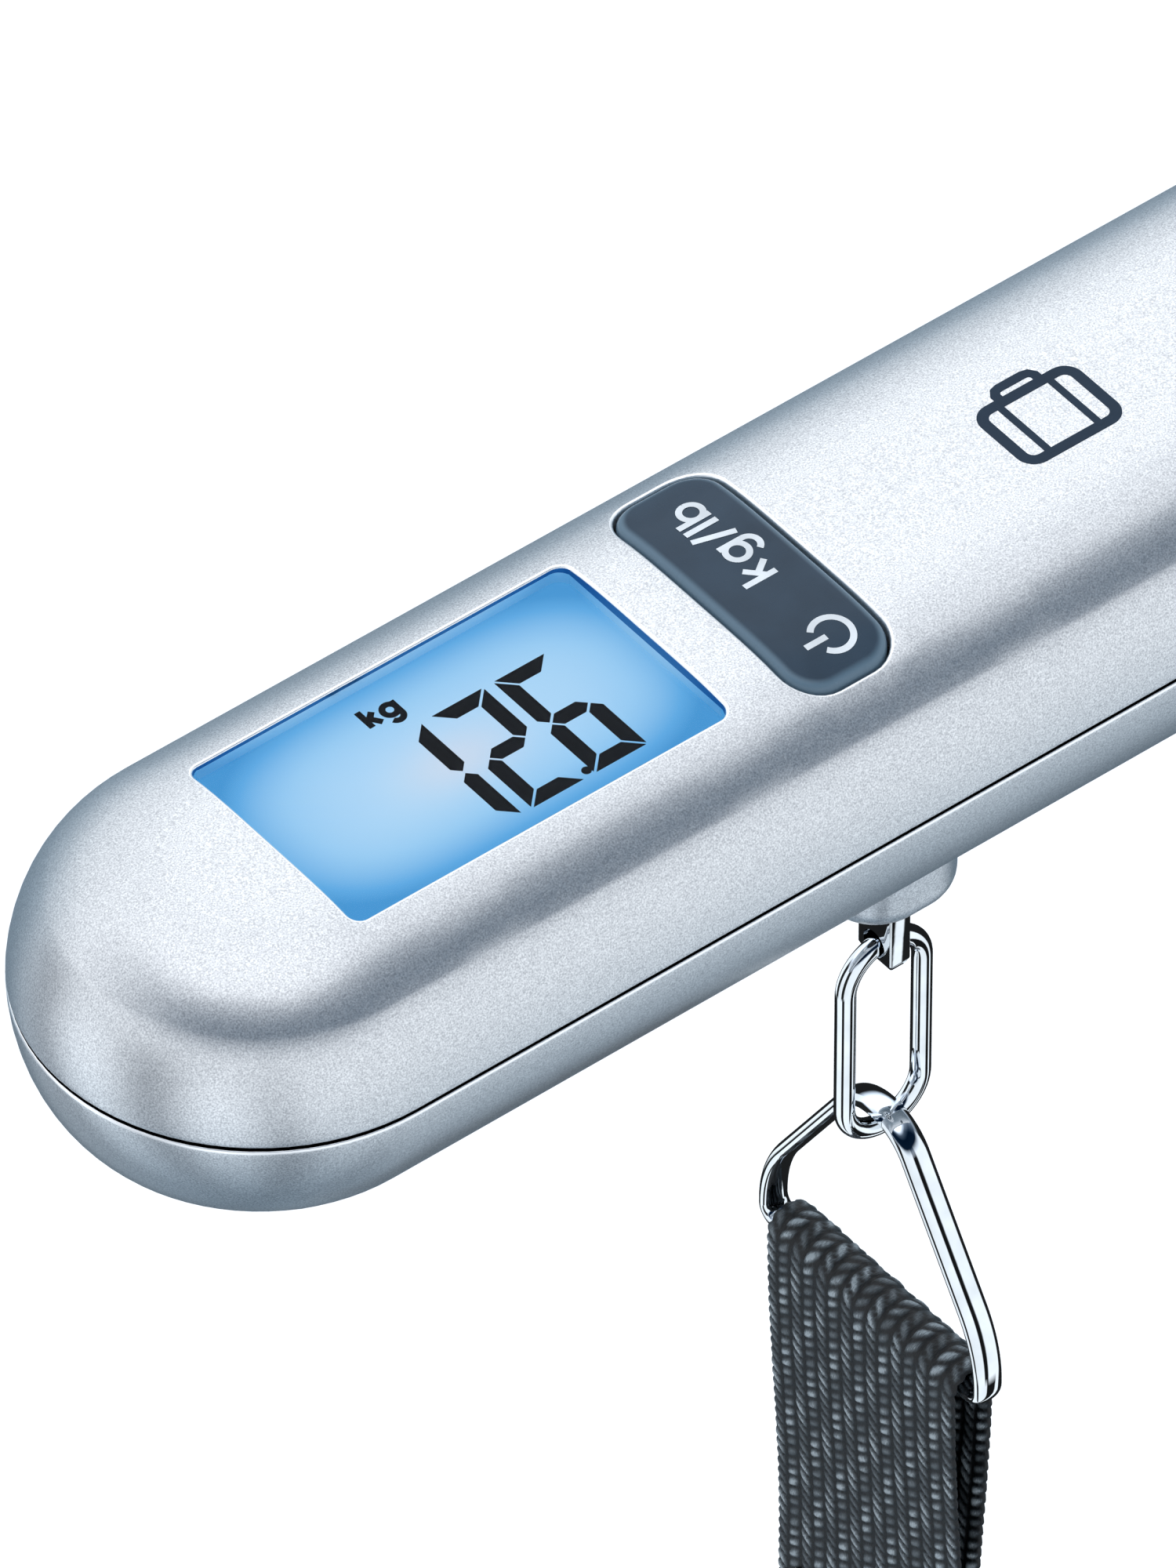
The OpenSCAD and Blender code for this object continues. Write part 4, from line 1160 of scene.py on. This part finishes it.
def webbing():
    """Filament yarn: painted glints on the crowns, painted shade in the creases, fine fibres along the
    tape.
    """
    f = Finish("grey_webbing", (0.06, 0.068, 0.075), 0.5, 0.0, Specular_IOR_Level=0.4)
    f.place = f.node("ShaderNodeUVMap", uv_map="tape").outputs["UV"]
    crown = f.node("ShaderNodeAttribute", attribute_name="crown").outputs["Fac"]
    fibres = f.noise(0.2, 3.0, (2.4, 0.6, 1))
    painted_sheen = f.math("ADD", f.times(fibres, 0.7), 0.65)
    # painted light: the colour follows the yarn's height, pale glints on the crowns and painted shade in
    # the creases
    f.base(f.ramp(f.times(painted_sheen, crown), [
        (0.38, (0.002, 0.0028, 0.0035)), (0.58, (0.032, 0.04, 0.046)),
        (0.76, (0.1, 0.118, 0.13)), (0.95, (0.32, 0.37, 0.4))]))
    f.rough(fibres, 0.28, 0.6)
    f.bump(fibres, 0.06, 0.8)
    return f.material


def circuit_board():
    f = Finish("circuit_board", (0.02, 0.16, 0.06), 0.3)
    tracks = f.node("ShaderNodeTexBrick")
    tracks.inputs["Scale"].default_value = 1
    tracks.inputs["Mortar Size"].default_value = 0.08
    tracks.inputs["Color1"].default_value = (0.015, 0.13, 0.05, 1)
    tracks.inputs["Color2"].default_value = (0.02, 0.17, 0.07, 1)
    tracks.inputs["Mortar"].default_value = (0.05, 0.3, 0.13, 1)
    f.link(f.stretched([420, 420, 420]), tracks, "Vector")
    f.base(tracks.outputs["Color"])
    f.rough(f.noise(0.8, 3.0), 0.22, 0.42)
    f.bump(tracks.outputs["Fac"], 0.02, 0.3)
    return f.material


# ---- stage

def stand_off(obj, target, azimuth, elevation, distance):
    """Puts a camera or a light at a distance from its target, facing it."""
    a, e = math.radians(azimuth), math.radians(elevation)
    back = Vector((math.sin(a) * math.cos(e), -math.cos(a) * math.cos(e), math.sin(e)))
    obj.location = target + back * distance
    obj.rotation_mode = "QUATERNION"
    obj.rotation_quaternion = (-back).to_track_quat("-Z", "Y")


# The camera that shows the casing in the photograph's perspective
LENS, SENSOR = 552.6, 36
AIM = (-22.11, 6.72, -8.53)
AZIMUTH, ELEVATION, DISTANCE = -38.5, 44.9, 1.72277


def camera():
    data = bpy.data.cameras.new("camera")
    data.lens, data.sensor_width = LENS, SENSOR
    data.clip_start, data.clip_end = 0.05, 60
    cam = placed("camera", data)
    stand_off(cam, Vector(AIM) * MM, AZIMUTH, ELEVATION, DISTANCE)
    bpy.context.scene.camera = cam


def floor(below):
    half = 30
    corners = [(x * half, y * half, below) for x, y in ((-1, -1), (1, -1), (1, 1), (-1, 1))]
    mesh = bpy.data.meshes.new("floor")
    mesh.from_pydata(corners, [], [(0, 1, 2, 3)])
    obj = placed("floor", mesh)
    f = Finish("floor_pale", (0.8, 0.8, 0.8), 0.9, 0.0, Specular_IOR_Level=0.0,
               Emission_Color=(1, 1, 1, 1), Emission_Strength=0.35)
    obj.data.materials.append(f.material)
    obj.visible_glossy = False


def soft_light(name, azimuth, elevation, distance, side, power):
    """A square light facing the frame's origin."""
    data = bpy.data.lights.new(name, "AREA")
    data.shape = "RECTANGLE"
    data.size = data.size_y = side
    data.energy = power
    stand_off(placed(name, data), Vector(), azimuth, elevation, distance)


PAINT_GIVES_BACK = 0.65


def tone(level):
    """The studio grey that shows as this level on the paint: near neutral when bright, else bluer."""
    shade_left = max(1 - level, 0)
    red = level * (0.965 - 0.45 * shade_left ** 2.2)
    blue = level * (1.05 + 0.4 * shade_left ** 2.5)
    return tuple(channel / PAINT_GIVES_BACK for channel in (red, level, blue))


# Brightness the paint shows for each elevation it mirrors: towards the viewer, away, dark band
FRONT = [(-90, 0.19), (-72, 0.28), (-60, 0.41), (-48, 0.52), (-36, 0.58), (-22, 0.67), (-8, 0.74),
         (8, 0.75), (20, 0.82), (50, 0.92), (62, 1.0), (90, 0.94)]
BACK = [(-90, 0.17), (-66, 0.05), (-54, 0.07), (-40, 0.15), (-20, 0.21), (-4, 0.31), (10, 0.5),
        (26, 0.74), (46, 0.81), (62, 0.95), (90, 0.95)]
BAND = [(18, 0), (27, 0.5), (33, 0.95), (48, 0.97), (57, 0.78), (65, 0.2), (71, 0)]
# Dark and bright strips that only mirror-smooth metal shows, by azimuth: steeply below, and above that
STRIPS_LOW = [(-180, 1.2), (-166, 1.2), (-163, 0.015), (-141, 0.015), (-138, 1.2), (-78, 1.1), (-75, 0.01),
              (-46, 0.01), (-43, 1.2), (-29, 1.2), (-26, 0.015), (136, 0.015), (139, 1.2), (180, 1.2)]
STRIPS_HIGH = [(-180, 1.2), (-177, 1.2), (-174, 0.02), (-152, 0.02), (-149, 1.1), (-89, 1.2), (-86, 0.01),
               (-72, 0.01), (-69, 1.2), (-26, 1.2), (-23, 0.015), (85, 0.015), (88, 1.2), (122, 1.2),
               (125, 0.02), (150, 0.02), (153, 1.1), (180, 1.1)]


def grey(level):
    return (level, level, level)


def steel(level):
    return (0.93 * level, level, 1.05 * level)


def by_elevation(stops, colour):
    return [((math.sin(math.radians(angle)) + 1) / 2, colour(level)) for angle, level in stops]


def by_azimuth(stops, colour):
    return [(angle / 360 + 0.5, colour(level)) for angle, level in stops]


def world():
    """A studio of soft bands with dark flags low down. The camera itself sees a pale screen."""
    w = bpy.data.worlds.new("studio")
    bpy.context.scene.world = w
    w.use_nodes = True
    s = Nodes(w.node_tree)
    x, y, z = s.split(s.node("ShaderNodeTexCoord").outputs["Generated"])
    height = s.math("MULTIPLY_ADD", z, 0.5, 0.5)

    def towards(east, north):
        return s.math("ADD", s.times(x, east), s.times(y, north))

    def fading(end, value, slope):
        """1 where the value is well under its end, 0 above it."""
        return s.math("MULTIPLY", s.math("SUBTRACT", end, value), slope, clamp=True)

    # What the paint mirrors
    front = fading(0.55, towards(0.707, 0.707), 2.2)
    soft = s.mix(front, s.ramp(height, by_elevation(BACK, tone)), s.ramp(height, by_elevation(FRONT, tone)))
    low = fading(0.1, z, 2)
    west = s.math("MULTIPLY", x, -0.95, clamp=True)
    lift = s.math("MULTIPLY_ADD", s.times(west, low), 0.4, 1.0)
    scale = s.node("ShaderNodeVectorMath", operation="SCALE")
    s.feed((scale.inputs[0], scale.inputs["Scale"]), (soft, lift))
    band = s.times(s.ramp(height, by_elevation(BAND, grey)), fading(0.6, towards(0.2, 0.98), 1.0))
    banded = s.mix(band, scale.outputs["Vector"], (0.012, 0.07, 0.14, 1))
    azimuth = s.math("ARCTAN2", y, x)
    turns = s.math("COSINE", s.math("MULTIPLY_ADD", azimuth, 6.0, math.radians(-36)))
    flag = s.math("POWER", s.math("MULTIPLY_ADD", turns, 0.5, 0.5), 1.6)
    off_the_side = fading(0.62, towards(0.5, -0.866), 5)
    flags = s.times(s.times(flag, off_the_side), s.times(s.times(fading(0.3, z, 3), front), 0.8))
    flagged = s.mix(flags, banded, (0.04, 0.07, 0.11, 1))

    # What mirror-smooth metal shows: high up the same with more contrast, strips below that
    mirrored = s.node("ShaderNodeGamma")
    mirrored.inputs["Gamma"].default_value = 2.2
    s.link(banded, mirrored, "Color")
    around_it = s.math("MULTIPLY_ADD", azimuth, 0.5 / math.pi, 0.5)
    below, above = (s.ramp(around_it, by_azimuth(stops, steel)) for stops in (STRIPS_LOW, STRIPS_HIGH))
    strips = s.mix(fading(-0.58, z, 12), above, below)
    hard = s.mix(fading(0.55, z, 4), mirrored.outputs["Color"], strips)

    path = s.node("ShaderNodeLightPath")
    lit = s.mix(path.outputs["Is Singular Ray"], flagged, hard)
    seen = s.mix(path.outputs["Is Camera Ray"], lit, (0.96, 0.96, 0.96, 1))
    s.link(seen, s.tree.nodes["Background"], "Color")


# ---- assembly

def dress(obj, material):
    obj.data.materials.clear()
    obj.data.materials.append(material)


def finish_piece(obj, body, material, nodes=()):
    dress(obj, material)
    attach(obj, body)
    if nodes:
        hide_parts(*nodes)


camera()
world()
floor(cad_box[0].z - 0.06)
soft_light("crown_light", 138, 45, 0.65, 0.3, 0.1)

paint = silver_paint()
wire = chrome("chrome_wire", (0.84, 0.87, 0.9))
hook_chrome = chrome("chrome_hook", (0.8, 0.82, 0.84))
post_chrome = chrome("chrome_post", (0.8, 0.83, 0.86))
key_finish = slate_key()
white_print = plastic("white_print", (0.82, 0.86, 0.89), 0.4)
blue_print = plastic("blue_print", (0.018, 0.036, 0.062), 0.5, Specular_IOR_Level=0.15)
segment_black = plastic("segment_black", (0.005, 0.006, 0.008), 0.6, Specular_IOR_Level=0.1)
thread = plastic("thread", (0.09, 0.1, 0.11), 0.6, 0.12)

finish_piece(upper_shell(), "casing", paint, ["upper_shell"])
finish_piece(lower_shell(), "casing", paint, ["lower_shell"])
finish_piece(battery_door(), "door", paint, ["battery_door"])
finish_piece(key_cap(), "key", key_finish, ["rocker_key"])
finish_piece(oval_link(), "link", wire, ["oval_link"])
finish_piece(triangle_ring(), "ring", wire, ["triangle_ring"])
finish_piece(swivel_eye(), "eye", hook_chrome, ["swivel_eye"])
finish_piece(hook_body(), "hook", hook_chrome, ["hook_body"])
finish_piece(hook_gate(), "gate", hook_chrome, ["hook_gate"])
finish_piece(pull_post(), "casing", post_chrome, ["pull_post"])

# The flat spring, made in place between its root in the hook and its free end on the gate
spring = spring_leaf()
dress(spring, metal("spring_steel", (0.4, 0.4, 0.42), 0.3))
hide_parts("gate_spring")
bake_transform(spring)

# Legends printed on the key and a luggage pictogram on the crown
LEGEND_BASE_X, LEGEND_LEFT_Y = -11.1, -0.9
units = lettering("key_units", "kg/lb", 2.0, 0.5,
                  lambda along, up: (LEGEND_BASE_X - up, LEGEND_LEFT_Y + along), key_top, 0.03)
finish_piece(units, "key", white_print)
power = ribbon_mark("key_power", [
    (arc(-11.9, -8.2, 1.55, -142, 142), 0.5, False),
    (line((-14.3, -8.2), (-12.4, -8.2)), 0.5, False)], key_top, 0.03)
finish_piece(power, "key", white_print)

case_outline = rounded_rect(14.2, -0.6, 8.4, 6.2, 1.1, side=6)
handle = [(12.4, 2.5), (12.4, 3.3), (12.7, 3.7), (13.1, 3.8),
          (15.3, 3.8), (15.7, 3.7), (16.0, 3.3), (16.0, 2.5)]
suitcase = ribbon_mark("luggage_mark", [
    (case_outline, 0.9, True), (handle, 0.8, False),
    (line((11.9, -3.7), (11.9, 2.5)), 0.6, False),
    (line((16.5, -3.7), (16.5, 2.5)), 0.6, False)], crown_top, 0.02)
finish_piece(suitcase, "casing", blue_print)

# Display content, on top of the liquid crystal
on_glass = level(cad("lcd_glass")[1].z)
DIGITS_LEFT, DIGITS_BASE, DIGIT_PITCH = -44.15, -7.83, 5.65
POINT_X, POINT_Y, POINT_R = -33.17, -7.27, 0.38
UNIT_LEFT, UNIT_BASE = -42.3, 5.5
shift_x, shift_y = 0.52, 0.91  # moves all the content together
digits = []
for number, lit in enumerate(("bc", "abged", "afgecd")):
    digits += segment_shapes(lit, DIGITS_LEFT + number * DIGIT_PITCH + shift_x, DIGITS_BASE + shift_y)
digits.append(circle(POINT_X + shift_x, POINT_Y + shift_y, POINT_R, 24))
segments = mark("display_digits", digits, on_glass, 0.05, 0.04)
finish_piece(segments, "casing", segment_black)
unit = lettering("display_unit", "kg", 1.28, 0.5,
                 lambda along, up: (UNIT_LEFT + shift_x + along, UNIT_BASE + shift_y + up),
                 on_glass, 0.05, 0.04)
finish_piece(unit, "casing", segment_black)

strap, strap_length = webbing_strap()
finish_piece(strap, "strap", webbing(), ["webbing_strap"])
upper_seam = stitches("strap_seam_upper", bar_z - UPPER_OVERLAP + 3, bar_z - UPPER_MEET - 3)
lower_seam = stitches("strap_seam_lower", eye_z + LOWER_MEET + 3, eye_z + LOWER_OVERLAP - 3)
for seam in (upper_seam, lower_seam):
    finish_piece(seam, "strap", thread)

# Materials of the CAD nodes that stay
zinc = metal("zinc_steel", (0.62, 0.63, 0.65), 0.3)
black = plastic("black_plastic", (0.02, 0.02, 0.022), 0.45)
white = plastic("white_plastic", (0.8, 0.8, 0.78), 0.4)
rubber = plastic("silicone_rubber", (0.2, 0.21, 0.22), 0.6, 0.4)
gold = metal("gold_contact", (0.85, 0.62, 0.28), 0.25)
kept = {
    "case_screws": zinc, "pcb_screws": zinc, "load_cell_screws": zinc, "chassis_screws": zinc,
    "post_washer": zinc, "post_nut": zinc,
    "boss_bushing": black, "battery_holder": black,
    "display_lens": clear_lens(), "lcd_glass": display_blue(),
    "backlight_guide": plastic("light_guide", (0.85, 0.9, 0.93), 0.1, Transmission_Weight=0.6),
    "reflector_sheet": white, "lcd_holder": white,
    "backlight_leds": plastic("led_white", (0.9, 0.87, 0.65), 0.3),
    "zebra_strip": rubber, "keypad_mat": rubber,
    "main_pcb": circuit_board(),
    "controller_blob": plastic("epoxy_black", (0.01, 0.01, 0.01), 0.15),
    "pcb_components": plastic("component_black", (0.03, 0.03, 0.032), 0.4),
    "coin_cell": metal("cell_steel", (0.66, 0.66, 0.64), 0.24, (1, 12, 1)),
    "contact_negative": gold, "contact_positive": gold,
    "battery_leads": plastic("lead_red", (0.45, 0.02, 0.015), 0.35),
    "gauge_leads": plastic("lead_white", (0.7, 0.7, 0.68), 0.35),
    "load_cell": metal("cell_aluminium", (0.75, 0.76, 0.77), 0.32, (1, 10, 10)),
    "strain_gauges": metal("gauge_foil", (0.8, 0.5, 0.2), 0.35),
    "chassis_plate": metal("chassis_steel", (0.5, 0.52, 0.54), 0.35, (1, 8, 8)),
    "gate_pin": metal("pin_steel", (0.55, 0.55, 0.57), 0.25),
}
for node, material in kept.items():
    dress(frame["nodes"][node], material)

bpy.context.scene.view_settings.view_transform = "Standard"
